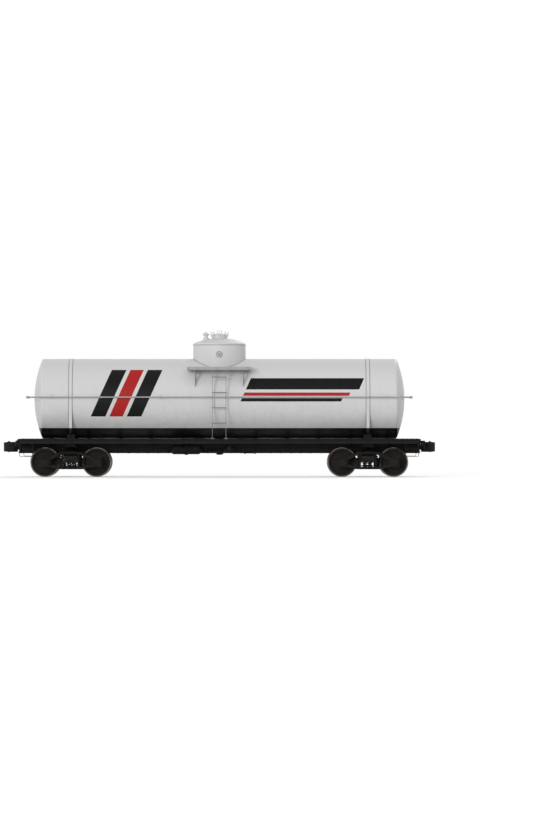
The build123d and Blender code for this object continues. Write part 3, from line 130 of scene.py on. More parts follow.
class TANKCAR_PG_colours(bpy.types.PropertyGroup):
    """Colours of the car's paints and bare metals."""

    tank_grey: colour("Tank grey", "Enamel on the tank, the dome and its fittings", "D2D2D2")
    band_black: colour("Band black", "Enamel along the tank's belly and on the stripes", "050505")
    stripe_red: colour("Stripe red", "Enamel on the narrow stripes", "AA2020")
    rail_grey: colour("Rail grey", "Enamel on rails and dome platforms", "A2A2A2")
    ladder_grey: colour("Ladder grey", "Enamel on the ladders, dulled by boots", "7E7E7E")
    rain_dirt: colour("Rain dirt", "What rain leaves down the tank's side", "908C84")
    # Band edge shade: a painted shade line along both edges of each of the tank's bands
    band_edge_shade: colour("Band dirt", "Dirt along the edges of the tank's bands", "6E6C68")
    frame_black: colour("Frame black", "Paint on the underframe and the trucks", "070708")
    plank_black: colour("Plank black", "Paint on the deck's planks", "0B0B0C")
    bare_plank: colour("Bare plank", "Timber where the paint has worn off", "3A342D")
    road_dust: colour("Road dust", "Dust thrown up from the track", "4A4238")
    rust: colour("Rust", "Thin rust on castings and wheels", "33201A")
    cast_steel: colour("Cast steel", "Bare castings such as couplers", "171412")
    worn_steel: colour("Worn steel", "Steel polished by rail or pin", "8C8A86")
    spring_steel: colour("Spring steel", "Blackened coils", "141518")


class TANKCAR_PG_sizes(bpy.types.PropertyGroup):
    """Sizes of the car's small pieces."""

    band_top: length("Black band's top", "Height up to which the tank is black", 1.473)
    motif_lean: FloatProperty(
        name="Stripe lean", description="Sideways run of a stripe's ends per metre of height", default=0.45
    )
    weld_width: length("Weld width", "Width of the beads on the tank", 0.024)
    weld_height: length("Weld height", "How far the beads stand out of the plate", 0.004)
    rivet_radius: length("Rivet head", "Radius of a rivet's round head", 0.016)
    plank_bolt: length("Plank bolt", "Radius of the round bolt heads in the planks", 0.011)
    nut_width: length("Nut", "Width of an ordinary nut across its corners", 0.034)
    casting_bead: length("Casting bead", "Width of the raised edges round a casting's windows", 0.013)
    coil_rod: length("Outer coil rod", "Radius of the outer coil's rod", 0.013)
    coil_turns: FloatProperty(name="Coil turns", description="Turns of an outer spring coil", default=5)
    air_pipe: length("Air pipe", "Radius of the small air pipes", 0.0135)
    chain_wire: length("Chain wire", "Radius of the hand brake chain's wire", 0.0065)
    round_sides: IntProperty(name="Round sides", description="Sides of a rivet's head", default=8, min=6)


def colours():
    return bpy.context.scene.tankcar_colours


def sizes():
    return bpy.context.scene.tankcar_sizes


# Shapes: a shape is a pair of vertices and four-cornered faces, worked out for a whole grid at once


def sheet(points):
    """A grid of points [row, column, xyz] with a face between each four neighbours."""
    height, width = points.shape[:2]
    row, column = np.meshgrid(np.arange(height - 1), np.arange(width - 1), indexing="ij")
    corner = row * width + column
    faces = np.stack((corner, corner + 1, corner + width + 1, corner + width), -1)
    return points.reshape(-1, 3), faces.reshape(-1, 4)


def lathe(profile, sides):
    """A profile of (radius, height) turned round the Z axis: x = r cos a, y = r sin a, z = height."""
    radius, height = np.array(profile, float).T
    angle = np.linspace(0, 2 * np.pi, sides + 1)
    x = radius[:, None] * np.cos(angle)
    y = radius[:, None] * np.sin(angle)
    return sheet(np.stack((x, y, np.broadcast_to(height[:, None], x.shape)), -1))


def solid(profile, sides, crown=0.0):
    """A profile turned round the Z axis and closed at both ends, the upper one raised to a crown."""
    start, stop = profile[0][1], profile[-1][1] + crown
    return lathe([(0, start), *profile, (0, stop)], sides)


def unit(vectors):
    """Vectors of length 1 in the same directions."""
    return vectors / np.linalg.norm(vectors, axis=-1, keepdims=True)


def copies(shape, places, directions):
    """The same shape at many places, its Z axis turned to each direction and its X axis level."""
    vertices, faces = shape
    places = np.array(places, float).reshape(-1, 3)
    along = unit(np.broadcast_to(np.array(directions, float).reshape(-1, 3), places.shape))
    nearly_upright = 0.99
    upright = np.abs(along[:, 2:]) > nearly_upright
    across = unit(np.cross(np.where(upright, [[0.0, 1.0, 0.0]], [[0.0, 0.0, 1.0]]), along))
    turns = np.stack((across, np.cross(along, across), along), -1)
    turned = np.einsum("mij,nj->mni", turns, vertices) + places[:, None, :]
    steps = np.arange(len(places))[:, None, None] * len(vertices)
    return turned.reshape(-1, 3), (faces[None] + steps).reshape(-1, 4)


def rows(xs, ys, zs):
    """Every place whose three coordinates come from the three lists."""
    return np.stack(np.meshgrid(xs, ys, zs, indexing="ij"), -1).reshape(-1, 3)


def circle(middle, radius, count, axis=2, first=0.0):
    """Places spread evenly round a middle: radius cos a and radius sin a in the plane across an axis.

    The axis is 0, 1 or 2 for X, Y or Z.
    """
    angle = first + np.linspace(0, 2 * np.pi, count, endpoint=False)
    places = np.zeros((count, 3))
    places[:, axis - 2] = radius * np.cos(angle)
    places[:, axis - 1] = radius * np.sin(angle)
    return places + middle


def both(values):
    """The values and their negatives."""
    return np.concatenate((-np.array(values, float), values))


def pictures(shapes, *signs):
    """The shapes and, for each set of signs, their mirror picture: x, y and z times those signs."""
    return [(vertices * picture, faces) for picture in ((1, 1, 1), *signs) for vertices, faces in shapes]


def moved(shapes, x):
    """The shapes, moved along the car."""
    return [(vertices + (x, 0, 0), faces) for vertices, faces in shapes]


def bent(corners, radius, closed=False, steps=5):
    """A path through corner points, each corner rounded by a quadratic curve.

    The curve starts and stops a radius away from its corner: (1-t)^2 start + 2t(1-t) corner + t^2 stop.
    """
    corners = np.array(corners, float)
    back, ahead = np.roll(corners, 1, 0) - corners, np.roll(corners, -1, 0) - corners
    start = corners + unit(back) * np.minimum(radius, np.linalg.norm(back, axis=1, keepdims=True) / 2)
    stop = corners + unit(ahead) * np.minimum(radius, np.linalg.norm(ahead, axis=1, keepdims=True) / 2)
    t = np.linspace(0, 1, steps)[:, None]
    curves = (1 - t) ** 2 * start[:, None] + 2 * t * (1 - t) * corners[:, None] + t**2 * stop[:, None]
    if closed:
        return curves.reshape(-1, 3)
    return np.concatenate((corners[:1], curves[1:-1].reshape(-1, 3), corners[-1:]))


def carried(outline, path, up, closed=False):
    """An outline of (across, up) points carried along a path: path + across * u + upward * v.

    A closed path joins its own start; an open one is closed by a point at each end.
    """
    path = np.array(path, float)
    if closed:
        path = np.concatenate((path[-1:], path, path[:2]))
    along = unit(np.gradient(path, axis=0))
    if closed:
        path, along = path[1:-1], along[1:-1]
    across = unit(np.cross(along, np.broadcast_to(np.array(up, float), path.shape)))
    upward = np.cross(across, along)
    outline = np.array(outline, float)
    points = path[:, None] + across[:, None] * outline[:, :1] + upward[:, None] * outline[:, 1:]
    if closed:
        return sheet(points)
    ends = points.mean(axis=1, keepdims=True).repeat(len(outline), axis=1)
    return sheet(np.concatenate((ends[:1], points, ends[-1:])))


def tube(path, radius, sides=8, closed=False):
    """A round tube: a circle (r cos a, r sin a) carried along a path."""
    angle = np.linspace(0, 2 * np.pi, sides + 1)
    outline = radius * np.stack((np.cos(angle), np.sin(angle)), -1)
    # No path runs along this direction, which keeps the tube's sides in line
    along_no_path = (0.31, 0.52, 0.79)
    return carried(outline, path, along_no_path, closed)


def bead(path, width, height, up, closed=True):
    """A raised edge on a casting: half an ellipse (w/2 cos a, h sin a) carried along a path on its face."""
    angle = np.linspace(0, np.pi, 6)
    arch = np.stack((width / 2 * np.cos(angle), height * np.sin(angle)), -1)
    foot = [(-width / 2, -height / 2), (width / 2, -height / 2), (width / 2, 0)]
    return carried([*arch, *foot], path, up, closed)


def slab(low, high, cut=0.002):
    """A block between two corners: an eight-cornered outline at four heights, its edges cut back."""
    low, high = np.array(low, float), np.array(high, float)
    half = (high - low) / 2
    cut = min(cut, half.min() * 0.9)
    x, y, z = half
    corner = np.array([(x, y - cut), (x - cut, y), (cut - x, y), (-x, y - cut), (-x, cut - y), (cut - x, -y)])
    corner = np.concatenate((corner, [(x - cut, -y), (x, cut - y), (x, y - cut)]))
    share = np.array([(0, 0), (x - cut, y - cut), (x, y), (x, y), (x - cut, y - cut), (0, 0)]) / (x, y)
    points = np.zeros((6, 9, 3))
    points[..., :2] = corner * share[:, None]
    points[..., 2] = np.array([-z, -z, cut - z, z - cut, z, z])[:, None]
    return sheet(points + (low + high) / 2)


def rivet(radius=None):
    """A round head on a flat foot: a quarter circle (r cos a, 0.6 r sin a) turned round."""
    radius = radius or sizes().rivet_radius
    turn = np.linspace(0, np.pi / 2, 4)
    dome = np.stack((radius * np.cos(turn), 0.6 * radius * np.sin(turn)), -1)
    return lathe([(0, -0.1 * radius), (radius, -0.1 * radius), *dome], sizes().round_sides)


def nut(width=None):
    """A six-sided nut of a width across its corners, with the round end of its bolt standing out of it."""
    radius = (width or sizes().nut_width) / 2
    body = [(0, -0.1), (1, -0.1), (1, 0.75), (0.88, 0.9), (0.5, 0.9)]
    end = [(0.5, 1.2), (0.4, 1.35), (0, 1.35)]
    return lathe(np.array(body + end) * radius, 6)


def chain(start, stop):
    """Links between two points, each turned a quarter against the next.

    A link is two half circles apart: x = r cos a, z = r sin a + r in the first half turn, - r in the second.
    """
    wire, corners = sizes().chain_wire, 12
    bow = 2.2 * wire
    angle = np.linspace(0, 2 * np.pi, corners, endpoint=False) + np.pi / corners
    link = np.stack((bow * np.cos(angle), angle * 0, bow * (np.sin(angle) + np.sign(np.sin(angle)))), -1)
    direction = np.subtract(stop, start)
    spacing = 2 * (2 * bow - wire)
    places = np.linspace(start, stop, max(2, round(np.linalg.norm(direction) / spacing)))
    first = tube(link, wire, 6, closed=True)
    second = tube(link[:, [1, 0, 2]], wire, 6, closed=True)
    return [copies(first, places[::2], direction), copies(second, places[1::2], direction)]


def piece(name, shapes, body="car_body", material=None):
    """Join shapes into one piece that rides on a body, in a slot's paint: the underframe's unless told."""
    counts = np.cumsum([0] + [len(vertices) for vertices, faces in shapes[:-1]])
    vertices = np.concatenate([vertices for vertices, faces in shapes])
    faces = np.concatenate([faces + count for (_, faces), count in zip(shapes, counts)])
    mesh = bpy.data.meshes.new(name)
    mesh.from_pydata(vertices.tolist(), [], faces.tolist())
    shell = bmesh.new()
    shell.from_mesh(mesh)
    bmesh.ops.remove_doubles(shell, verts=shell.verts, dist=SAME_POINT)
    bmesh.ops.recalc_face_normals(shell, faces=shell.faces)
    shell.to_mesh(mesh)
    shell.free()
    mesh.materials.append(material or rolled_section())
    mesh.polygons.foreach_set("use_smooth", [True] * len(mesh.polygons))
    mesh.set_sharp_from_angle(angle=SHARP_ANGLE)
    made = bpy.data.objects.new(name, mesh)
    bpy.context.scene.collection.objects.link(made)
    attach(made, body)
    return made


# Materials


def new_material(name):
    """A node material, its tree and its Principled shader, which is linked to the output."""
    material = bpy.data.materials.new(name)
    material.use_nodes = True
    return material, material.node_tree, material.node_tree.nodes["Principled BSDF"]


def fill(tree, node, sockets):
    """Link or set the inputs of a node."""
    for key, value in sockets.items():
        socket = node.inputs[key]
        if isinstance(value, bpy.types.NodeSocket):
            tree.links.new(value, socket)
        elif socket.type == "RGBA":
            socket.default_value = (*value[:3], 1)
        else:
            socket.default_value = value


def add(tree, kind, sockets=None, output=0, **settings):
    """Add a shader node with its settings and links, and return one of its outputs."""
    node = tree.nodes.new("ShaderNode" + kind)
    for name, value in settings.items():
        setattr(node, name, value)
    fill(tree, node, sockets or {})
    return node.outputs[output]


def worked(tree, kind, value, *steps):
    """Take a value through arithmetic nodes. A step is an operation and what it needs besides the value."""
    for operation, *others in steps:
        value = add(tree, kind, dict(enumerate([value, *others])), operation=operation)
    return value


def patches(tree, size, low=0.45, high=0.6, detail=4, stretch=(1, 1, 1)):
    """Irregular patches of about a size in metres, 0 outside and 1 inside them; stretch draws them out."""
    place = worked(tree, "VectorMath", add(tree, "TexCoord", output="Object"), ("MULTIPLY", stretch))
    noise = add(tree, "TexNoise", {"Vector": place, "Scale": 1 / size, "Detail": detail})
    return add(tree, "MapRange", {"Value": noise, "From Min": low, "From Max": high})


def coat(tree, under, over, share, *factors):
    """Lay a colour over another as thickly as a share times its factors says, from 0 to 1."""
    share = worked(tree, "Math", share, *(("MULTIPLY", factor) for factor in factors))
    return add(tree, "Mix", {0: share, 6: under, 7: over}, 2, data_type="RGBA")


def finish(tree, shader, base, sheen, mask, roughness, *grains):
    """Give the shader its colour, its sheen and a roughness that a mask takes from one value to another.

    A grain is a height pattern and its depth in metres, each laid over the one before it.
    """
    low, high = roughness
    roughness = add(tree, "MapRange", {"Value": mask, "To Min": low, "To Max": high})
    normal = {}
    for height, depth in grains:
        normal = {"Normal": add(tree, "Bump", {"Height": height, "Distance": depth} | normal)}
    fill(tree, shader, {"Base Color": base, "Specular IOR Level": sheen, "Roughness": roughness} | normal)


# Livery, as seen from either side of the car: slanted bars on the left and level ones on the right.
# Columns: paint, middle along the car from left to right, half length, middle height, half height, in metres.
LIVERY = (
    ("band_black", -3.32, 0.22, 2.52, 0.70),
    ("stripe_red", -2.78, 0.20, 2.52, 0.70),
    ("band_black", -2.24, 0.22, 2.52, 0.70),
    ("band_black", 2.45, 1.70, 2.80, 0.17),
    ("stripe_red", 2.34, 1.59, 2.49, 0.05),
    ("band_black", 2.26, 1.51, 2.32, 0.05),
)
LEAN_HEIGHT = 2.52


@cache
def alkyd_enamel():
    """Alkyd enamel sprayed on rolled steel plate.

    Half-gloss grey with a black band along the belly, plain stripes, and a painted shade line along each
    band's edges.
    Long plates give broad, faint waves; rain leaves narrow streaks down the shell, and the track throws dust
    on its lower part.
    """
    material, tree, shader = new_material("alkyd_enamel_on_plate")
    paint, size = colours(), sizes()
    place = add(tree, "TexCoord", output="Object")
    along, aside, height = (add(tree, "SeparateXYZ", {0: place}, axis) for axis in "XYZ")
    # Each side is read from left to right, and a stripe's ends run sideways with its height
    along = worked(tree, "Math", aside, ("SIGN",), ("MULTIPLY", along))
    lean = ("SUBTRACT", LEAN_HEIGHT), ("MULTIPLY", -size.motif_lean)
    leaned = worked(tree, "Math", height, *lean, ("SUBTRACT", along))

    # Streaks 60 to 100 mm apart that run down for a metre or more, but not over the crest
    streaks = patches(tree, 0.11, 0.48, 0.78, 5, (1, 1, 0.07))
    fade = {"Value": height, "From Min": TANK_HIGH.z - 0.3, "From Max": TANK_AXIS, "To Max": 0.09}
    painted = coat(tree, paint.tank_grey, paint.rain_dirt, streaks, add(tree, "MapRange", fade))
    # Painted shade: a darker line 20 mm wide along both edges of each band, where the strap meets the tank
    strap, line, thickness = 0.0475, 0.02, 0.8
    beside_band = ("ABSOLUTE",), ("SUBTRACT", TRUCK_X), ("ABSOLUTE",), ("COMPARE", strap + line / 2, line / 2)
    edge = worked(tree, "Math", along, *beside_band)
    painted = coat(tree, painted, paint.band_edge_shade, edge, thickness)
    for name, middle, half, level, half_height in LIVERY:
        inside = worked(tree, "Math", leaned, ("COMPARE", middle, half))
        beside = worked(tree, "Math", height, ("COMPARE", level, half_height))
        painted = coat(tree, painted, getattr(paint, name), inside, beside)
    belly = worked(tree, "Math", height, ("LESS_THAN", size.band_top))
    painted = coat(tree, painted, paint.band_black, belly)
    low = {"Value": height, "From Min": TANK_LOW.z, "From Max": TANK_AXIS, "To Min": 0.14, "To Max": 0.0}
    cover = patches(tree, 0.25, 0.35, 0.7, 6)
    painted = coat(tree, painted, paint.road_dust, add(tree, "MapRange", low), cover)

    # Plates 2 m wide dish by a few millimetres between their welds
    waves = patches(tree, 0.7, 0.2, 0.8, 1)
    # Sprayed paint dries in 3 mm orange peel; 12 mm here, so that it shows
    peel = patches(tree, 0.012, 0.2, 0.8, 2)
    finish(tree, shader, painted, 0.16, streaks, (0.42, 0.58), (waves, 0.006), (peel, 0.0004))
    return material


@cache
def brushed_enamel(name, base):
    """Grey enamel brushed on pipe, bar and plank: half gloss, worn to bare steel where hands and boots go,
    with faint brush marks and patches of grime."""
    material, tree, shader = new_material(name)
    paint = colours()
    painted = coat(tree, getattr(paint, base), paint.worn_steel, patches(tree, 0.05, 0.6, 0.72, 6), 0.4)
    grime = patches(tree, 0.2, 0.45, 0.8, 5)
    painted = coat(tree, painted, paint.road_dust, grime, 0.3)
    marks = patches(tree, 0.004, 0.2, 0.8, 2, (0.1, 1, 1))
    finish(tree, shader, painted, 0.3, grime, (0.45, 0.65), (marks, 0.0005))
    return material


def rail_enamel():
    """Enamel of the handrails and the dome platforms."""
    return brushed_enamel("brushed_enamel_on_pipe_and_plank", "rail_grey")


def ladder_enamel():
    """Darker enamel of the ladders."""
    return brushed_enamel("brushed_enamel_on_bar", "ladder_grey")


@cache
def black_paint(name, base, dustiness, rusting, grain_size, grain_depth):
    """Black bituminous paint on steel: dull and uneven, dusty below, with thin rust where stones chipped it.

    The grain of the steel shows through: mill scale on rolled sections, sand on castings.
    """
    material, tree, shader = new_material(name)
    paint = colours()
    height = add(tree, "SeparateXYZ", {0: add(tree, "TexCoord", output="Object")}, "Z")
    painted = coat(tree, getattr(paint, base), paint.rust, patches(tree, 0.04, 0.58, 0.66, 8), rusting)
    low = {"Value": height, "From Min": 0.2, "From Max": 1.3, "To Min": dustiness, "To Max": dustiness / 5}
    cover = patches(tree, 0.16, 0.35, 0.75, 6)
    dust = worked(tree, "Math", add(tree, "MapRange", low), ("MULTIPLY", cover))
    painted = coat(tree, painted, paint.road_dust, dust)
    # Dust covers a third at the most, which takes the roughness to 0.8
    grain = patches(tree, grain_size, 0.2, 0.8, 3)
    finish(tree, shader, painted, 0.14, dust, (0.5, 1.375), (grain, grain_depth))
    return material


def rolled_section():
    """Painted mill steel of sills, bolsters and pipes: nearly smooth, with scale in broad flakes."""
    return black_paint("black_paint_on_rolled_steel", "frame_black", 0.25, 0.15, 0.03, 0.0008)


def truck_casting():
    """Painted sand castings of the trucks: a grit of 2 to 6 mm, and dust that cakes on their lower bars."""
    return black_paint("black_paint_on_sand_cast_steel", "frame_black", 0.35, 0.2, 0.007, 0.0018)


def bare_casting():
    """Couplers are left as cast: brown-black scale with thin rust all over."""
    return black_paint("bare_sand_cast_steel", "cast_steel", 0.35, 0.4, 0.007, 0.0018)


@cache
def painted_timber(name, grain, first_board, board):
    """Black paint on sawn softwood.

    The saw leaves ridges 8 mm apart along the grain, each board takes the paint a little differently,
    and boots wear the walk down to grey wood.
    """
    material, tree, shader = new_material(name)
    paint = colours()
    counted = ("ABSOLUTE",), ("SUBTRACT", first_board), ("DIVIDE", board), ("FLOOR",)
    board_number = worked(tree, "VectorMath", add(tree, "TexCoord", output="Object"), *counted)
    tone = add(tree, "TexWhiteNoise", {"Vector": board_number})
    ridges = patches(tree, 1, 0.4, 0.62, 6, grain)
    boots = patches(tree, 0.45, 0.42, 0.7, 5)
    worn = worked(tree, "Math", ridges, ("MULTIPLY", boots), ("MULTIPLY", tone))
    painted = coat(tree, paint.plank_black, paint.bare_plank, worn)
    finish(tree, shader, painted, 0.15, worn, (0.7, 0.95), (ridges, 0.003))
    return material


@cache
def rolled_wheel(number, centre_x):
    """Forged and rolled wheel steel: brown-black scale and oily dust on plate and hub, and a bright ring
    where rails polish tread and flange. The ring is found by its distance from the axle's line."""
    material, tree, shader = new_material(f"rolled_wheel_steel_{number}")
    paint = colours()
    flange_height = 0.026
    tread = AXLE_HEIGHT - flange_height
    from_axle = ("SUBTRACT", (centre_x, 0, AXLE_HEIGHT)), ("MULTIPLY", (1, 0, 1))
    place = worked(tree, "VectorMath", add(tree, "TexCoord", output="Object"), *from_axle)
    radius = add(tree, "VectorMath", {0: place}, "Value", operation="LENGTH")
    bright = add(tree, "MapRange", {"Value": radius, "From Min": tread - 0.012, "From Max": tread - 0.006})
    metal = coat(tree, paint.cast_steel, paint.rust, patches(tree, 0.05, 0.4, 0.7, 8), 0.35)
    metal = coat(tree, metal, paint.road_dust, patches(tree, 0.2, 0.3, 0.8, 5), 0.15)
    metal = coat(tree, metal, paint.worn_steel, bright)
    dull = worked(tree, "Math", 1, ("SUBTRACT", bright))
    scale = worked(tree, "Math", patches(tree, 0.011, 0.2, 0.8, 4), ("MULTIPLY", dull))
    finish(tree, shader, metal, 0.2, bright, (0.75, 0.3), (scale, 0.0012))
    fill(tree, shader, {"Metallic": worked(tree, "Math", bright, ("MULTIPLY", 0.9))})
    return material


@cache
def spring_rod():
    """Hot-wound spring rod: blue-black scale with a dull oil film and rust in specks."""
    material, tree, shader = new_material("hot_wound_spring_steel")
    specks = patches(tree, 0.012, 0.55, 0.7, 6)
    metal = coat(tree, colours().spring_steel, colours().rust, specks)
    finish(tree, shader, metal, 0.3, specks, (0.42, 0.8), (specks, -0.0004))
    return material


def dress(names, material):
    """Give CAD nodes a material in every slot."""
    for name in names:
        for slot in NODES[name].material_slots:
            slot.material = material


def named(*starts):
    """The frame's node names that begin with one of the words."""
    return [name for name in NODES if name.startswith(starts)]


class TANKCAR_OT_paint(bpy.types.Operator):
    """Paint the pieces of the underframe, the trucks, the tank, the dome and the ladders"""

    bl_idname = "tankcar.paint"
    bl_label = "Paint"

    def execute(self, context):
        dress(NODES, rolled_section())
        dress(named("front_truck_", "rear_truck_", "strikers", "draft_gears"), truck_casting())
        dress(named("coupler_", "knuckle_"), bare_casting())
        for number, x in WHEEL_X:
            dress((f"wheels_{number}", f"axle_{number}"), rolled_wheel(number, x))
        dress(("tank", "tank_bands", "dome", "safety_valve", "manway_ring", "manway_cover"), alkyd_enamel())
        dress(named("handrail_", "dome_platform_"), rail_enamel())
        dress(named("ladder_"), ladder_enamel())
        return {"FINISHED"}


class TANKCAR_OT_planks(bpy.types.Operator):
    """Paint the deck's planks and set round bolt heads in them"""

    bl_idname = "tankcar.planks"
    bl_label = "Planks and bolts"

    def execute(self, context):
        board, board_length, inner_edge, platform_boards = 0.1353, 3.02, 1.1, 5
        platform_end = BOX["running_boards"][1].x
        cross_board = (END_FACE - platform_end) / platform_boards
        # A board's size in height is more than any, so that all of them count as one layer
        lengthwise, crosswise = (board_length, board, 9), (cross_board, board_length, 9)
        along = painted_timber("painted_planks_along", (1.5, 120, 60), (0, inner_edge, 0), lengthwise)
        across = painted_timber("painted_planks_across", (120, 1.5, 60), (platform_end, 0, 0), crosswise)
        dress(("running_boards",), along)
        dress(("end_platforms",), across)
        walk_y = inner_edge + board * np.arange(0.5, 3)
        end_x = platform_end + cross_board * np.arange(0.5, platform_boards)
        walk = rows(both([*BEARERS[:-1], TRUCK_X]), both(walk_y), [DECK_TOP])
        ends = rows(both(end_x), both([0.25, 0.85, 1.42]), [DECK_TOP])
        piece("plank_bolts", [copies(rivet(sizes().plank_bolt), np.concatenate((walk, ends)), UP)])
        return {"FINISHED"}


class TANKCAR_OT_tank_welds(bpy.types.Operator):
    """Lay weld beads round the tank's rings and heads, and hand-brushed ones round the dome"""

    bl_idname = "tankcar.tank_welds"
    bl_label = "Tank welds"

    def execute(self, context):
        half, height, sunk = sizes().weld_width / 2, sizes().weld_height, 0.003
        share = np.linspace(-1, 1, 7)
        arch = np.stack((TANK_RADIUS - 0.001 + height * np.sqrt(1 - share**2), share * half), -1)
        root = TANK_RADIUS - sunk
        ring = lathe([(root, -half), *arch, (root, half), (root, -half)], 144)
        seams = rows(TANGENT * np.array([-1, -0.6, -0.2, 0.2, 0.6, 1]), [0], [TANK_AXIS])
        piece("tank_welds", [copies(ring, seams, AHEAD)], material=alkyd_enamel())

        # Where an upright cylinder meets one along X: z = axis + sqrt(R^2 - (r sin a)^2)
        foot = circle((0, 0, TANK_AXIS), DOME_RADIUS, 96)
        foot[:, 2] += np.sqrt(TANK_RADIUS**2 - foot[:, 1] ** 2)
        top = circle((0, 0, DOME_WALL_TOP - 0.045), DOME_RADIUS, 72)
        shapes = [tube(foot, half * 1.2, closed=True), tube(top, half * 0.9, closed=True)]
        piece("dome_welds", shapes, material=rail_enamel())
        return {"FINISHED"}


class TANKCAR_OT_tank_fittings(bpy.types.Operator):
    """Fasten the rail brackets, the tank bands, the saddles and the anchors"""

    bl_idname = "tankcar.tank_fittings"
    bl_label = "Tank fittings"

    def execute(self, context):
        self.pads()
        self.band_ends()
        self.cradle_bolts()
        return {"FINISHED"}

    def pads(self):
        """Pads between rail brackets and tank, each with two rivets."""
        bracket_x = (TANGENT - 0.25) * np.array([-1, -0.7, -0.35, 0.35, 0.7, 1])
        sunk, thick, half = 0.012, 0.008, 0.045
        face = TANK_RADIUS + thick
        pad = slab((-half, TANK_RADIUS - sunk, RAIL_HEIGHT - 0.085), (half, face, RAIL_HEIGHT + 0.075))
        heads = rows(bracket_x, [face], [RAIL_HEIGHT - 0.055, RAIL_HEIGHT + 0.05])
        shapes = [shape for x in bracket_x for shape in moved([pad], x)]
        shapes = pictures([*shapes, copies(rivet(0.012), heads, LEFT)], WALL_PICTURE)

        # A head is part of a ball: its pads face away from the ball's middle
        ball, aside = 3.1, 0.62
        outward = unit(np.array([[np.sqrt(ball**2 - aside**2), aside, RAIL_HEIGHT - TANK_AXIS]]))
        place = (TANK_HIGH.x - ball, 0, TANK_AXIS) + outward * ball
        pad = solid([(0.07, -0.006), (0.07, 0.006), (0.065, thick)], 16)
        heads = place + outward * thick + [(0, 0, -half), (0, 0, half)]
        shapes += pictures([copies(pad, place, outward), copies(rivet(0.011), heads, outward)], *ALL_CORNERS)
        piece("rail_bracket_pads", shapes, material=alkyd_enamel())

    def band_ends(self):
        """Nuts under the bands' blocks and at the rods' feet, and rivets where each strap is doubled."""
        lean, (strap_y, strap_z) = math.radians(7.7), (1.0946, 1.414)
        down = np.array([0, -math.sin(lean), -math.cos(lean)])
        outward = np.array([0, math.cos(lean), -math.sin(lean)])
        top = np.array([TRUCK_X, strap_y, strap_z])
        foot = top + down * (strap_z - SILL_HIGH.z - 0.012) / math.cos(lean)
        washer_half, washer_thick = np.array([0.05, 0.045]), 0.014
        washer_low = (*(foot[:2] - washer_half), SILL_HIGH.z)
        washer_high = (*(foot[:2] + washer_half), SILL_HIGH.z + washer_thick)
        doubled = [
            top - down * up + outward * 0.005 + (x, 0, 0)
            for up in (0.05, 0.11, 0.17)
            for x in (-0.024, 0.024)
        ]
        shapes = [
            copies(nut(0.066), [top + down * 0.064], down),
            copies(nut(0.066), [foot], -down),
            slab(washer_low, washer_high),
            copies(rivet(0.012), doubled, outward),
        ]
        piece("band_fastenings", pictures(shapes, *ALL_CORNERS), material=alkyd_enamel())

    def cradle_bolts(self):
        """Bolts through the feet of the saddles and the anchors."""
        foot = SILL_HIGH.z + 0.016
        saddle = rows([TRUCK_X - 0.085, TRUCK_X + 0.085], both([0.24, 0.36, 0.48]), [foot])
        anchor = rows([0.51, 0.73], both([0.08, 0.17]), [foot])
        bolts = copies(nut(), np.concatenate((saddle, anchor)), UP)
        piece("cradle_bolts", pictures([bolts], END_PICTURE))


class TANKCAR_OT_dome_fittings(bpy.types.Operator):
    """Fit the nuts, ribs and plugs on the dome"""

    bl_idname = "tankcar.dome_fittings"
    bl_label = "Dome fittings"

    def execute(self, context):
        low, high = BOX["safety_valve"]
        x, y = (low.x + high.x) / 2, (low.y + high.y) / 2
        spindle = solid([(0.022, -0.002), (0.022, 0.014), (0.009, 0.02), (0.009, 0.034)], 12, 0.002)
        shapes = [
            copies(nut(0.024), circle((x, y, low.z + 0.02), 0.0725, 8), UP),
            copies(spindle, [(x, y, high.z)], UP),
        ]
        piece("safety_valve_nuts", shapes, material=alkyd_enamel())
        self.side_plug()
        self.cover_ribs()
        return {"FINISHED"}

    def side_plug(self):
        """A six-sided plug in the boss on the dome's side, its rivets, and a packing ring at its foot."""
        face, height, boss = BOX["dome"][0].y, DOME_WALL_TOP - 0.329, 0.032
        plug = solid([(0.034, -0.002), (0.034, 0.02), (0.03, 0.024)], 6)
        shapes = [
            copies(plug, [(0, face, height)], RIGHT),
            copies(rivet(0.008), circle((0, face, height), 0.052, 8, 1), RIGHT),
            tube(circle((0, face + boss, height), 0.078, 32, 1), 0.012, closed=True),
        ]
        piece("dome_side_plug", shapes, material=ladder_enamel())

    def cover_ribs(self):
        """Radial ribs on the manway cover: its crown's height falls with the square of the distance out."""
        edge, edge_height, rise = 0.235, 0.022, 0.022
        out = np.linspace(0.05, 0.205, 8)
        height = LID_FOOT + edge_height + rise * (1 - (out / edge) ** 2)
        shapes = []
        for turn in np.radians(22.5 + 45 * np.arange(8)):
            shapes.append(tube(np.stack((out * np.cos(turn), out * np.sin(turn), height), -1), 0.008))
        boss = solid([(0.045, -0.01), (0.045, 0.008), (0.038, 0.012)], 20)
        shapes.append(copies(boss, [(0, 0, LID_FOOT + edge_height + rise)], UP))
        piece("manway_cover_ribs", shapes, "manway_lid", alkyd_enamel())


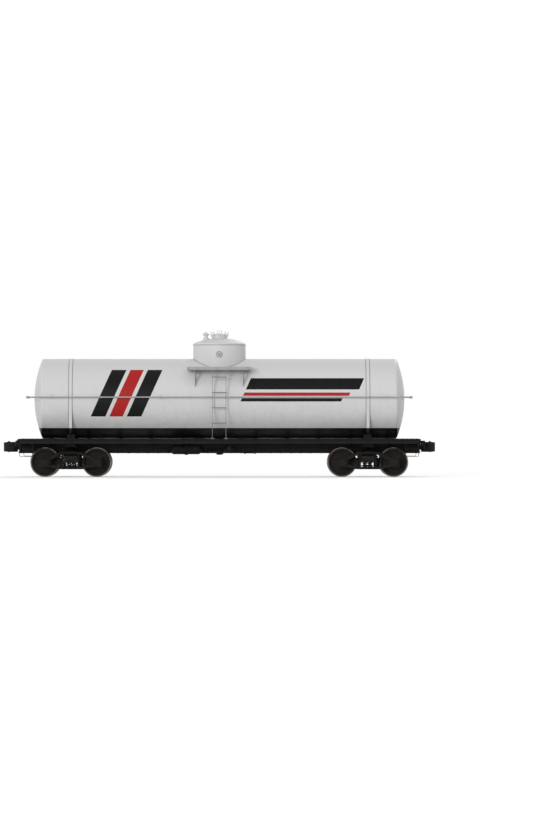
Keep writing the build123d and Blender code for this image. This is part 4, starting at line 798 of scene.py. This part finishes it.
class TANKCAR_OT_ladder_fittings(bpy.types.Operator):
    """Fasten rungs, stiles, dome platforms and their planks"""

    bl_idname = "tankcar.ladder_fittings"
    bl_label = "Ladder fittings"

    def execute(self, context):
        low, high = BOX["ladder_rungs"]
        rung, clip_half, clip_thick = 0.013, 0.026, 0.008
        stile = BOX["ladder_rails"][1].x - STILE_FOOT_HALF
        face, under = stile + 0.007, PLATFORM_LOW.z + BRACKET_DROP
        left, right = LADDER_Y + clip_half, LADDER_Y - clip_half
        rungs = rows([face], [LADDER_Y], np.linspace(low.z + rung, high.z - rung, 4))
        feet = rows([stile - 0.03, stile + 0.03], [LADDER_Y], [DECK_TOP + 0.014])
        clips = rows([face + clip_thick], [LADDER_Y], [under - 0.06, under - 0.03])
        shapes = [
            copies(rivet(0.015), rungs, AHEAD),
            copies(nut(0.026), feet, UP),
            slab((face, right, under - 0.08), (face + clip_thick, left, under)),
            slab((face, right, under - clip_thick), (face + 0.06, left, under)),
            copies(rivet(0.01), clips, AHEAD),
        ]
        shapes = pictures(shapes, *ALL_CORNERS)
        planks = 3
        board = (PLATFORM_HIGH.y - PLATFORM_LOW.y) / planks
        bars = [-0.953, -0.72, 0, 0.72, 0.953]
        heads = rows(bars, both(PLATFORM_LOW.y + board * np.arange(0.5, planks)), [PLATFORM_HIGH.z])
        edges = rows(bars, [PLATFORM_HIGH.y], [PLATFORM_HIGH.z - 0.06])
        shapes.append(copies(rivet(sizes().plank_bolt), heads, UP))
        shapes += pictures([copies(rivet(0.01), edges, LEFT)], WALL_PICTURE)
        piece("ladder_and_platform_bolts", shapes, material=rail_enamel())
        return {"FINISHED"}


class TANKCAR_OT_sill_rivets(bpy.types.Operator):
    """Rivet the sills, bolsters, strikers and end sills"""

    bl_idname = "tankcar.sill_rivets"
    bl_label = "Sill rivets"

    def execute(self, context):
        web_low, web_high = SILL_LOW.z, SILL_HIGH.z
        bearers = BEARERS[:, None]
        side_x = [*(bearers + [-0.025, 0.025]).ravel(), TRUCK_X - 0.06, TRUCK_X, TRUCK_X + 0.06]
        web_x = [*(bearers + [-0.04, 0.04]).ravel(), *(TRUCK_X + both([0.08, 0.15]))]
        draft_x = np.arange(TRUCK_X + 0.5, END_FACE - 0.1, 0.085)
        side = rows(both(side_x), [SIDE_FACE], SILL_MIDDLE + both([0.023]))
        web = rows(both(web_x), [WEB_FACE], np.linspace(web_low + 0.05, web_high - 0.06, 4))
        draft = rows(both(draft_x), [WEB_FACE], [web_low + 0.08, web_high - 0.1])
        flange = rows(both(np.arange(0.35, TRUCK_X - 0.2, 0.3)), both([0.215]), [web_low])
        shapes = pictures([copies(rivet(), np.concatenate((web, draft, side)), LEFT)], WALL_PICTURE)
        piece("sill_rivets", [*shapes, copies(rivet(), flange, DOWN)])
        self.bolsters()
        self.ends()
        return {"FINISHED"}

    def bolsters(self):
        """Rivets on a body bolster's web, along its top and its slanted foot, and under its tie plate."""
        head = rivet(0.013)
        root, tip, root_z, tip_z = 0.363, 1.134, SILL_LOW.z, 0.93
        web, inset = 0.045, 0.03
        aside = np.linspace(root + 0.1, tip - 0.07, 7)
        slanted = root_z + (aside - root) / (tip - root) * (tip_z - root_z) + inset
        top = rows([web], aside, [SILL_HIGH.z - 0.04])
        bottom = np.stack((aside * 0 + web, aside, slanted), -1)
        under = rows(both([0.16]), [0.25, 0.33], [root_z - 0.015])
        shapes = pictures([copies(head, np.concatenate((top, bottom)), AHEAD)], END_PICTURE)
        shapes = moved([*shapes, copies(head, under, DOWN)], TRUCK_X)
        piece("body_bolster_rivets", pictures(shapes, *ALL_CORNERS))

    def ends(self):
        """Bolts in the strikers, rivets along the end sills, and the plates that carry the couplers."""
        striker = rows([END_FACE], both([0.215]), [0.745, 0.83, 0.93])
        sill = rows([END_FACE], both([0.3, 0.42, 1.25, 1.4]), SILL_MIDDLE + both([0.023]))
        shapes = [
            copies(nut(0.04), striker, AHEAD),
            copies(rivet(), sill, AHEAD),
            slab((END_FACE - 0.05, -0.072, 0.796), (END_FACE + 0.008, 0.072, 0.8165)),
        ]
        piece("end_fastenings", pictures(shapes, END_PICTURE), material=truck_casting())


class TANKCAR_OT_coil_springs(bpy.types.Operator):
    """Wind the coil springs under the truck bolsters and seat them"""

    bl_idname = "tankcar.coil_springs"
    bl_label = "Coil springs"

    def execute(self, context):
        column, cap, plate, edge = 0.062, 0.008, 0.012, 0.01
        inner_face, spring_y = 0.853, (0.915, 1.065)
        for truck, _ in TRUCKS:
            low, high = BOX[f"{truck}_springs"]
            shapes = []
            for x in (low.x + column, high.x - column):
                for y in spring_y:
                    shapes += self.nest(x, y, low.z, high.z - cap, column)
            springs = piece(
                f"{truck}_coil_springs", pictures(shapes, WALL_PICTURE), truck, spring_rod()
            )
            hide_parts(f"{truck}_springs")
            seats = [
                slab((low.x - edge, inner_face - edge, bottom), (high.x + edge, high.y + edge, top))
                for bottom, top in ((low.z - plate, low.z), (high.z - cap, high.z))
            ]
            piece(f"{truck}_spring_seats", pictures(seats, WALL_PICTURE), truck, material=truck_casting())
        return {"FINISHED"}

    def nest(self, x, y, bottom, top, column):
        """An outer and an inner coil of opposite hand. A coil's height grows evenly with its angle,
        and its first and last turn lie nearly flat."""
        rod, turns = sizes().coil_rod, sizes().coil_turns
        shapes = []
        for radius, wire, windings, hand in (
            (column - rod - 0.001, rod, turns, 1),
            (column / 2 - rod / 2, rod * 0.6, turns * 1.5, -1),
        ):
            share = np.linspace(0, 1, int(windings * 18))
            lift = share - np.sin(2 * np.pi * share) * 0.1
            angle = hand * 2 * np.pi * windings * share
            height = bottom + wire + (top - bottom - 2 * wire) * lift
            path = np.stack((x + radius * np.cos(angle), y + radius * np.sin(angle), height), -1)
            shapes.append(tube(path, wire))
        return shapes


class TANKCAR_OT_truck_castings(bpy.types.Operator):
    """Raise the edges, lids and bosses of the trucks' side frames"""

    bl_idname = "tankcar.truck_castings"
    bl_label = "Truck castings"

    # Beads round the windows and along the bars. Columns: corner radius, whether it closes, then the corners:
    # along from the truck's middle, height
    centre_window = (0.012, True, (-0.216, 0.281), (0.216, 0.281), (0.216, 0.698), (-0.216, 0.698))
    side_window = (0.03, True, (0.254, 0.702), (0.599, 0.514), (0.599, 0.376), (0.254, 0.292))
    top_bar = (0.03, False, (-0.66, 0.59), (-0.298, 0.752), (0.298, 0.752), (0.66, 0.59))
    bottom_bar = (0.03, False, (-0.66, 0.306), (-0.328, 0.243), (0.328, 0.243), (0.66, 0.306))

    def execute(self, context):
        width, face = sizes().casting_bead, SIDE_FRAME_FACE
        edges = []
        for radius, closed, *corners in (self.side_window, self.centre_window, self.top_bar, self.bottom_bar):
            path = bent([(x, face, z) for x, z in corners], radius, closed)
            edges.append(bead(path, width, width / 2, LEFT, closed))
        columns = rows(both([0.235]), [face], np.linspace(0.33, 0.65, 5))
        shapes = pictures(edges[:1], END_PICTURE) + edges[1:] + [copies(rivet(0.011), columns, LEFT)]
        for end in (HALF_WHEELBASE, -HALF_WHEELBASE):
            shapes += moved(self.lid(), end)
        shapes = pictures(shapes, WALL_PICTURE)
        for truck, end in TRUCKS:
            castings = moved(shapes, end * TRUCK_X)
            piece(f"{truck}_casting_edges", castings, truck, material=truck_casting())
        return {"FINISHED"}

    def lid(self):
        """A journal box lid's raised edge, boss, hinge knuckles, pin and lifting lip."""
        face, half, middle = BOX["front_truck_side_frames"][1].y, 0.096, AXLE_HEIGHT
        signs = ((-1, -1), (1, -1), (1, 1), (-1, 1))
        square = [(x * half, face, middle + z * half) for x, z in signs]
        boss = solid([(0.05, -0.004), (0.046, 0.006), (0.03, 0.012)], 16, 0.002)
        hinge_y, hinge_z = face - 0.004, middle + 0.124
        hinge = [
            tube([(start, hinge_y, hinge_z), (stop, hinge_y, hinge_z)], radius)
            for start, stop, radius in ((-0.085, 0.085, 0.009), (-0.07, -0.03, 0.016), (0.03, 0.07, 0.016))
        ]
        return [
            bead(bent(square, 0.03, True), 0.014, 0.007, LEFT),
            copies(boss, [(0, face, middle)], LEFT),
            *hinge,
            slab((-0.035, face - 0.02, middle - 0.128), (0.035, face + 0.012, middle - 0.11)),
        ]


class TANKCAR_OT_truck_brakes(bpy.types.Operator):
    """Hang the trucks' brake beams and join their levers"""

    bl_idname = "tankcar.truck_brakes"
    bl_label = "Truck brakes"

    def execute(self, context):
        hanger = []
        for x in both([BRAKE_BEAM_X + 0.02]):
            loop = [(x, 0.726, 0.42), (x, 0.726, 0.625), (x, 0.806, 0.625), (x, 0.806, 0.42)]
            hanger += [
                tube(bent(loop, 0.03), 0.011),
                slab((x - 0.025, 0.766, 0.605), (x + 0.025, 0.917, 0.645), 0.006),
                slab((x - 0.012, 0.753, 0.27), (x + 0.012, 0.779, 0.53), 0.004),
            ]
        lever_y, rod_z, lever_low, dead_top, live_top = 0.34, 0.325, 0.295, 0.42, 0.61
        dead, live = -BRAKE_BEAM_X, BRAKE_BEAM_X
        # Columns: from and to along the car, half width, from and to in height, cut edge
        bars = (
            (dead - 0.014, dead + 0.014, 0.014, lever_low, dead_top, 0.005),
            (live - 0.014, live + 0.014, 0.014, lever_low, live_top, 0.005),
            (dead - 0.03, dead + 0.07, 0.024, rod_z - 0.018, rod_z + 0.018, 0.006),
            (live - 0.07, live + 0.03, 0.024, rod_z - 0.018, rod_z + 0.018, 0.006),
            (0.19, live + 0.03, 0.02, 0.56, 0.6, 0.006),
        )
        shapes = pictures(hanger, WALL_PICTURE) + [
            slab((start, lever_y - half, low), (stop, lever_y + half, high), cut)
            for start, stop, half, low, high, cut in bars
        ]
        pins = [(dead, rod_z), (live, rod_z), (dead, 0.4), (live, 0.4), (live, 0.58)]
        pins = [(x, lever_y, z) for x, z in pins]
        pin = solid([(0.011, -0.036), (0.011, 0.03), (0.017, 0.03), (0.017, 0.038)], 8)
        shapes += [tube([(dead, lever_y, rod_z), (live, lever_y, rod_z)], 0.014), copies(pin, pins, LEFT)]
        for truck, end in TRUCKS:
            rigging = moved([(vertices * (end, 1, 1), faces) for vertices, faces in shapes], end * TRUCK_X)
            piece(f"{truck}_brake_rigging", rigging, truck, material=truck_casting())
        return {"FINISHED"}


class TANKCAR_OT_hand_brake_chain(bpy.types.Operator):
    """Hang the hand brake's chain and run its rod to the brake levers"""

    bl_idname = "tankcar.hand_brake_chain"
    bl_label = "Hand brake chain"

    def execute(self, context):
        x, y, case_bottom, sheave_z = -TRUCK_X - 0.45, 1.2323, 1.55, 0.985
        pulley = (x + 0.036, y, sheave_z)
        start, far = np.array([x + 0.06, y, sheave_z - 0.032]), np.array([-0.34, 0.67, 0.83])
        sheave = [(0.045, -0.012), (0.036, -0.004), (0.036, 0.004), (0.045, 0.012)]
        shapes = chain((x, y, case_bottom), (x, y, sheave_z)) + [
            copies(solid(sheave, 20), [pulley], LEFT),
            slab((x - 0.112, y + 0.014, sheave_z - 0.02), (x + 0.06, y + 0.024, sheave_z + 0.019), 0.004),
            tube([start, far], 0.012),
            copies(nut(), [(pulley[0], y + 0.024, sheave_z)], LEFT),
            slab(far - (0.05, 0.022, 0.03), far + (0.02, 0.022, 0.03), 0.006),
        ]
        # Hangers from two cross bearers hold the rod where it passes them
        for bearer in (-BEARERS[2], -BEARERS[1]):
            place = start + (bearer - start[0]) / (far[0] - start[0]) * (far - start)
            top = (bearer + 0.006, place[1] + 0.02, SILL_HIGH.z)
            shapes.append(slab(place - (0.006, 0.02, 0.02), top, 0.003))
        piece("hand_brake_chain", shapes)
        return {"FINISHED"}


class TANKCAR_OT_air_pipes(bpy.types.Operator):
    """Lay the air pipes, their nuts, the cock handles and the release rod"""

    bl_idname = "tankcar.air_pipes"
    bl_label = "Air pipes"

    # Corners of each run, in metres, from one fitting to the next
    runs = (
        ((0.3, -0.32, 0.95), (0.3, -0.27, 0.92), (0.3, -0.27, 0.86)),
        ((0.27, -0.24, 0.84), (-0.38, -0.24, 0.84), (-0.38, -0.47, 0.83), (-0.56, -0.47, 0.83)),
        ((0.27, -0.21, 0.80), (-1.62, -0.21, 0.80), (-1.62, -0.47, 0.83), (-1.44, -0.47, 0.83)),
        ((0.33, -0.24, 0.81), (0.48, -0.24, 0.81), (0.48, -0.17, 0.81)),
        ((0.48, 0.17, 0.81), (0.48, 0.22, 0.81), (0.48, 0.24, 0.77), (1.22, 0.24, 0.77), (1.22, 0.52, 0.77),
         (1.22, 0.52, 0.83), (1.1, 0.52, 0.83)),
    )

    def execute(self, context):
        radius = sizes().air_pipe
        # A nut with a swelling closes each end: radii and heights in pipe radii
        union = solid(np.array([(1.9, 0), (1.9, 1.6), (1.4, 1.9), (0.9, 2.6)]) * radius, 6)
        shapes = []
        for corners in map(np.array, self.runs):
            shapes.append(tube(bent(corners, 0.05), radius))
            shapes.append(copies(union, corners[[0, -1]], corners[[1, -2]] - corners[[0, -1]]))
        release = bent([(0.3, -0.41, 0.78), (0.3, -1.455, 0.95), (0.3, -1.455, 0.87)], 0.03)
        shapes += [tube(release, 0.007, 6), slab((0.294, -1.478, 0.935), (0.306, -1.442, SILL_HIGH.z), 0.003)]
        piece("air_pipes", shapes)
        self.cocks()
        return {"FINISHED"}

    def cocks(self):
        """An angle cock's handle on its stem, and the six-sided collar at its mouth."""
        mouth, pipe_y, pipe_z = END_FACE + 0.1295, -0.32, 0.95
        plug = mouth - 0.04
        stem = solid([(0.016, 0.02), (0.016, 0.052), (0.011, 0.052), (0.011, 0.064)], 10)
        outside = [(0.03, -0.004), (0.03, 0.016), (0.022, 0.018), (0.022, 0.03)]
        collar = solid([*outside, (0.014, 0.03), (0.014, 0.01)], 8)
        handle = [(plug, pipe_y - out, pipe_z + up) for out, up in ((0, 0.057), (0.06, 0.057), (0.15, 0.035))]
        wide, thick = 0.013, 0.004
        bar = [(-wide, -thick), (wide, -thick), (wide, thick), (-wide, thick), (-wide, -thick)]
        shapes = [
            copies(stem, [(plug, pipe_y, pipe_z)], UP),
            copies(collar, [(mouth, pipe_y, pipe_z)], AHEAD),
            carried(bar, bent(handle, 0.03), UP),
        ]
        piece("angle_cock_handles", pictures(shapes, END_PICTURE))


class TANKCAR_OT_brake_bolts(bpy.types.Operator):
    """Bolt the brake cylinder, the air reservoir and the control valve"""

    bl_idname = "tankcar.brake_bolts"
    bl_label = "Brake bolts"

    def execute(self, context):
        height, seam_x, reservoir_y, valve_x, valve_face = 0.83, -1.0, -0.47, 0.3, -0.4215
        lug = solid([(0.014, -0.04), (0.014, 0.04)], 8)
        cap = solid([(0.04, -0.002), (0.04, 0.006), (0.03, 0.01), (0.018, 0.01), (0.018, 0.024)], 12, 0.002)
        valve_nuts = rows(valve_x + both([0.068]), [valve_face], height + both([0.068]))
        shapes = [
            copies(lug, circle((seam_x, reservoir_y, height), 0.16, 12, 0, 0.2), AHEAD),
            copies(nut(0.024), circle((seam_x + 0.04, reservoir_y, height), 0.16, 12, 0, 0.2), AHEAD),
            copies(nut(0.028), valve_nuts, RIGHT),
            copies(cap, [(valve_x, valve_face, height)], RIGHT),
        ]
        for flange_x, cap_x, outward in ((1.084, 0.165, AHEAD), (0.75, -0.165, BEHIND)):
            shapes.append(copies(nut(0.02), circle((flange_x, 0.52, height), 0.137, 10, 0, 0.2), outward))
            shapes.append(copies(cap, [(valve_x + cap_x, valve_face + 0.045, height)], outward))
        piece("brake_gear_bolts", shapes)
        return {"FINISHED"}


class TANKCAR_OT_coupler_fittings(bpy.types.Operator):
    """Finish the couplers: pin heads, lock lift and ribs"""

    bl_idname = "tankcar.coupler_fittings"
    bl_label = "Coupler fittings"

    def execute(self, context):
        face, height, half_depth = END_FACE + 0.375, 0.902, 0.14
        pin = (face - 0.062, 0.118)
        head = solid([(0.034, -0.004), (0.034, 0.008), (0.024, 0.018)], 16, 0.004)
        cotter = solid([(0.028, -0.002), (0.028, 0.008)], 12, 0.002)
        guard = [(face - 0.3, 0.0), (face - 0.18, -0.085), (face - 0.06, -0.15), (face + 0.02, -0.185)]
        wing = [(face - 0.3, 0.02), (face - 0.2, 0.095), (face - 0.13, 0.14)]
        shapes = [
            copies(head, [(*pin, height + half_depth + 0.018)], UP),
            copies(cotter, [(*pin, height - half_depth - 0.012)], DOWN),
            slab((face - 0.335, -0.09, height - 0.02), (face - 0.3, 0.09, height + half_depth - 0.03), 0.01),
        ]
        for path in (guard, wing):
            for side in (1, -1):
                ridge = bent([(x, y, height + side * half_depth) for x, y in path], 0.05)
                shapes.append(bead(ridge, 0.03, 0.012, (0, 0, side), False))
        piece("coupler_castings", pictures(shapes, HALF_TURN), material=bare_casting())
        return {"FINISHED"}


class TANKCAR_OT_step_and_hold_feet(bpy.types.Operator):
    """Fasten the sill steps, the handholds, the uncoupling levers and the outlet"""

    bl_idname = "tankcar.step_and_hold_feet"
    bl_label = "Step and handhold feet"

    def execute(self, context):
        step_x, strap_y, sill = END_FACE - 0.26, SIDE_FACE - 0.025, SILL_HIGH.z
        under = sill - 0.012
        shapes = []
        for x in step_x + both([0.19]):
            shapes.append(slab((x - 0.05, strap_y - 0.025, under), (x + 0.05, strap_y + 0.024, sill), 0.003))
            shapes.append(copies(nut(0.026), rows([x - 0.03, x + 0.03], [strap_y], [under]), DOWN))
        foot = solid([(0.032, -0.002), (0.032, 0.006), (0.02, 0.008), (0.013, 0.016)], 12)
        feet_y = [0.65, 1.15]
        rivets = rows([END_FACE + 0.005], feet_y, SILL_MIDDLE + both([0.024]))
        shapes.append(copies(foot, rows([END_FACE], feet_y, [SILL_MIDDLE]), AHEAD))
        shapes.append(copies(rivet(0.008), rivets, AHEAD))
        shapes = pictures(shapes, *ALL_CORNERS)
        brackets = rows([END_FACE + 0.03], [-0.565, -1.295], [sill + 0.07])
        shapes += pictures([copies(rivet(0.01), brackets, RIGHT)], HALF_TURN)
        piece("step_and_handhold_feet", shapes)
        self.outlet()
        return {"FINISHED"}

    def outlet(self):
        """The bottom outlet's cap with its two lugs, its flange nuts and its chain."""
        low = BOX["bottom_outlet"][0].z
        cap = solid([(0.06, -0.028), (0.078, -0.02), (0.078, 0.03), (0.072, 0.034)], 24)
        shapes = chain((0.1, 0, low + 0.005), (0.13, 0.1, low + 0.055)) + [
            copies(cap, [(0, 0, low)], UP),
            slab((-0.11, -0.014, low - 0.018), (0.11, 0.014, low + 0.01), 0.006),
            copies(nut(0.03), circle((0, 0, low + 0.051), 0.126, 8), DOWN),
        ]
        piece("outlet_cap", shapes)


class TANKCAR_OT_stage(bpy.types.Operator):
    """Set up the pale floor, the soft light and the camera"""

    bl_idname = "tankcar.stage"
    bl_label = "Stage"

    def execute(self, context):
        self.floor()
        self.world()
        self.lamps()
        self.camera()
        context.scene.view_settings.view_transform = "Standard"
        return {"FINISHED"}

    def placed(self, name, data):
        """An object for a lamp, the camera or the floor, in the scene."""
        made = bpy.data.objects.new(name, data)
        bpy.context.scene.collection.objects.link(made)
        return made

    def seen(self, tree, *rays):
        """1 where one of the named kinds of ray looks, else 0."""
        return worked(tree, "Math", 0, *(("ADD", add(tree, "LightPath", output=ray)) for ray in rays))

    def floor(self):
        """A white sheet that glows a little to the camera, so that it shows as paper."""
        material, tree, shader = new_material("white_studio_floor")
        glow = worked(tree, "Math", self.seen(tree, "Is Camera Ray", "Is Glossy Ray"), ("MULTIPLY", 0.35))
        pale = {"Base Color": (0.86, 0.86, 0.86), "Roughness": 1, "Specular IOR Level": 0}
        fill(tree, shader, pale | {"Emission Color": (1, 1, 1), "Emission Strength": glow})
        half = 900
        mesh = bpy.data.meshes.new("floor")
        corners = [(-half, -half, 0), (half, -half, 0), (half, half, 0), (-half, half, 0)]
        mesh.from_pydata(corners, [], [(0, 1, 2, 3)])
        mesh.materials.append(material)
        self.placed("floor", mesh)

    def world(self):
        """White to the camera and in reflections, and dimmer as a light."""
        world = bpy.data.worlds.new("studio")
        world.use_nodes = True
        bpy.context.scene.world = world
        tree = world.node_tree
        seen = self.seen(tree, "Is Camera Ray", "Is Glossy Ray", "Is Transmission Ray")
        strength = add(tree, "MapRange", {"Value": seen, "To Min": 0.62, "To Max": 1.0})
        fill(tree, tree.nodes["Background"], {"Color": (1, 1, 1), "Strength": strength})

    def lamps(self):
        """A soft key lamp from the camera's side and a weaker one from behind."""
        # Columns: name, strength, angle from the camera's side, angle above the floor, in degrees
        for name, strength, azimuth, elevation in (("key", 1.25, -22, 10), ("back", 0.7, 160, 30)):
            data = bpy.data.lights.new(name, "SUN")
            data.energy = strength
            data.angle = math.radians(20)
            lamp = self.placed(name, data)
            turn, rise = math.radians(azimuth), math.radians(elevation)
            level = math.cos(rise)
            towards = Vector((math.sin(turn) * level, -math.cos(turn) * level, math.sin(rise)))
            lamp.rotation_mode = "QUATERNION"
            lamp.rotation_quaternion = towards.to_track_quat("Z", "Y")

    def camera(self):
        """A long lens on the car's right side, level with its middle.

        The photograph's frame is 533 by 823 pixels of 30.2 mm each; the car's deck is 400 of them long.
        """
        pixel, tall, sensor, lens = 0.0302, 823, 36, 250
        data = bpy.data.cameras.new("camera")
        data.sensor_width = sensor
        data.lens = lens
        data.clip_end = 2000
        camera = self.placed("camera", data)
        camera.location = (1.42, -pixel * tall * lens / sensor, 1.97)
        camera.rotation_euler = (math.pi / 2, 0, 0)
        bpy.context.scene.camera = camera


OPERATORS = (
    TANKCAR_OT_paint,
    TANKCAR_OT_planks,
    TANKCAR_OT_tank_welds,
    TANKCAR_OT_tank_fittings,
    TANKCAR_OT_dome_fittings,
    TANKCAR_OT_ladder_fittings,
    TANKCAR_OT_sill_rivets,
    TANKCAR_OT_coil_springs,
    TANKCAR_OT_truck_castings,
    TANKCAR_OT_truck_brakes,
    TANKCAR_OT_hand_brake_chain,
    TANKCAR_OT_air_pipes,
    TANKCAR_OT_brake_bolts,
    TANKCAR_OT_coupler_fittings,
    TANKCAR_OT_step_and_hold_feet,
    TANKCAR_OT_stage,
)


class TANKCAR_PT_panel(bpy.types.Panel):
    """Sizes, colours and the steps that build the car's surface."""

    bl_label = "Tank car"
    bl_idname = "TANKCAR_PT_panel"
    bl_space_type = "VIEW_3D"
    bl_region_type = "UI"
    bl_category = "Tank car"

    def draw(self, context):
        for group in (context.scene.tankcar_sizes, context.scene.tankcar_colours):
            for name in group.__annotations__:
                self.layout.prop(group, name)
        for operator in OPERATORS:
            self.layout.operator(operator.bl_idname)


CLASSES = (TANKCAR_PG_colours, TANKCAR_PG_sizes, *OPERATORS, TANKCAR_PT_panel)


def register():
    for item in CLASSES:
        bpy.utils.register_class(item)
    bpy.types.Scene.tankcar_colours = PointerProperty(type=TANKCAR_PG_colours)
    bpy.types.Scene.tankcar_sizes = PointerProperty(type=TANKCAR_PG_sizes)


def unregister():
    del bpy.types.Scene.tankcar_sizes
    del bpy.types.Scene.tankcar_colours
    for item in reversed(CLASSES):
        bpy.utils.unregister_class(item)


def main():
    register()
    for operator in OPERATORS:
        group, step = operator.bl_idname.split(".")
        getattr(getattr(bpy.ops, group), step)()


if __name__ == "__main__":
    main()
